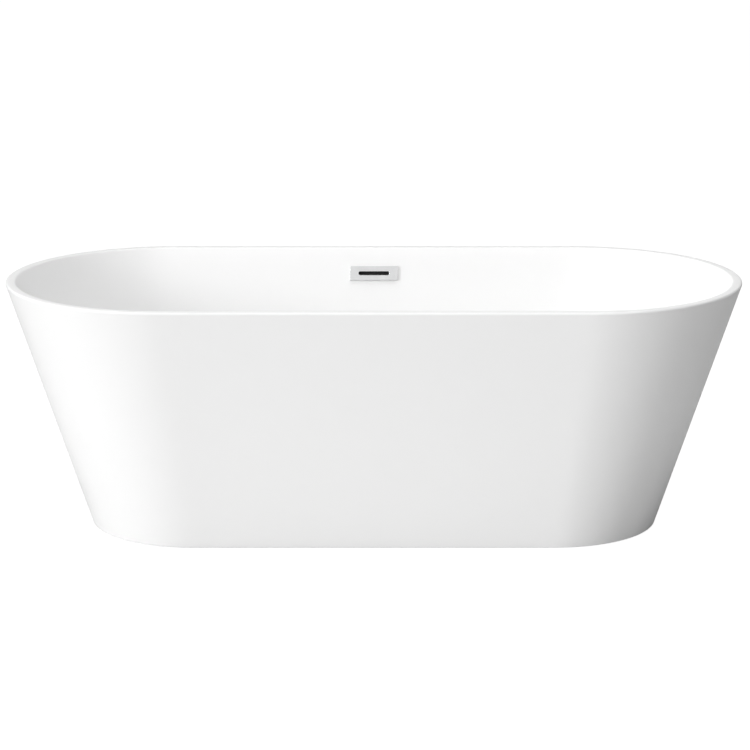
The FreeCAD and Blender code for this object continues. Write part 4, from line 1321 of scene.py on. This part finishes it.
@dataclass
class Studio:
    """Pale floor, soft light and the camera."""

    target: Place = (0.0, 0.0, 0.290)
    distance: float = 7.105
    elevation: float = 14.243
    lens: float = 145.87
    shift_x: float = 0.0015
    shift_y: float = 0.0320
    ambient: float = 0.11
    mirrored: float = 0.80
    shown: float = 1.16
    floor_height: float = -0.0005
    lit: tuple[float, ...] = (0.8, 0.8, 0.8, 1)
    pale: tuple[float, ...] = (0.9, 0.9, 0.9, 1)
    glow: float = 0.85

    def floor(self) -> None:
        """A wide pale floor just under the pads, which shows white and keeps a faint shadow."""
        bpy.ops.mesh.primitive_plane_add(size=60, location=(0, 0, self.floor_height))
        floor = bpy.context.object
        floor.name = "studio_floor"
        material = bpy.data.materials.new("pale_floor")
        tree = Tree.of(material)
        lit = tree.add("ShaderNodeBsdfDiffuse", {"Color": self.lit})
        pale = tree.add("ShaderNodeBsdfDiffuse", {"Color": self.pale})
        glow = tree.add("ShaderNodeEmission", {"Strength": self.shown})
        seen = tree.add("ShaderNodeMixShader", {0: self.glow, 1: pale.outputs[0], 2: glow.outputs[0]})
        camera = tree.add("ShaderNodeLightPath").outputs["Is Camera Ray"]
        both = tree.add("ShaderNodeMixShader", {0: camera, 1: lit.outputs[0], 2: seen.outputs[0]})
        tree.add("ShaderNodeOutputMaterial", {"Surface": both.outputs[0]})
        floor.data.materials.append(material)

    def sky(self) -> None:
        """Even soft light from all round, white where the camera sees it."""
        world = bpy.data.worlds.new("studio")
        bpy.context.scene.world = world
        tree = Tree.of(world)
        path = tree.add("ShaderNodeLightPath").outputs
        mirrored = tree.maths("MULTIPLY", path["Is Glossy Ray"], self.mirrored - self.ambient)
        seen = tree.maths("MULTIPLY", path["Is Camera Ray"], self.shown - self.ambient)
        strength = tree.maths("ADD", tree.maths("ADD", seen, mirrored), self.ambient)
        light = tree.add("ShaderNodeBackground", {"Color": (1, 1, 1, 1), "Strength": strength})
        tree.add("ShaderNodeOutputWorld", {"Surface": light.outputs[0]})

    def camera(self) -> None:
        """The camera, looking down the tub's front."""
        turn = math.radians(self.elevation)
        back = Vector((0, -math.cos(turn), math.sin(turn)))
        bpy.ops.object.camera_add(location=Vector(self.target) + back * self.distance)
        camera = bpy.context.object
        camera.rotation_euler = (math.pi / 2 - turn, 0, 0)
        camera.data.lens = self.lens
        camera.data.shift_x = self.shift_x
        camera.data.shift_y = self.shift_y
        camera.data.clip_end = 200
        bpy.context.scene.camera = camera

    def build(self) -> None:
        """Sets up the studio."""
        self.floor()
        self.sky()
        for light in (
            Daylight("window_left", 50, 15, 18, 1.30),
            Daylight("window_end", 100, 10, 18, 0.34),
            Softbox("low_left", (-5, -1.5, 0.9), 1.6, 49),
            Softbox("front_high", (0, -4, 4), 2.5, 92, mirrored=False),
            Softbox("left_high", (-3, -3.5, 3.5), 2.5, 13, mirrored=False),
            Softbox("overhead", (0, 0, 4.5), 3.0, 88, mirrored=False),
        ):
            light.build()
        self.camera()
        bpy.context.scene.view_settings.view_transform = "Standard"
        bpy.context.scene.view_settings.look = "None"


def main() -> None:
    """Builds the tub and its studio."""
    logging.basicConfig(level=logging.INFO, format="%(name)s %(message)s")
    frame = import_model()
    makers = (Basin, Skirt, OverflowFace, RibbedHose, WasteFlange, PlugButton, ReturnSpring, ThreadedStem)
    for maker in makers:
        maker().build()
    CarriedPieces(frame["record"], frame["nodes"]).dress()
    Studio().build()


if __name__ == "__main__":
    main()
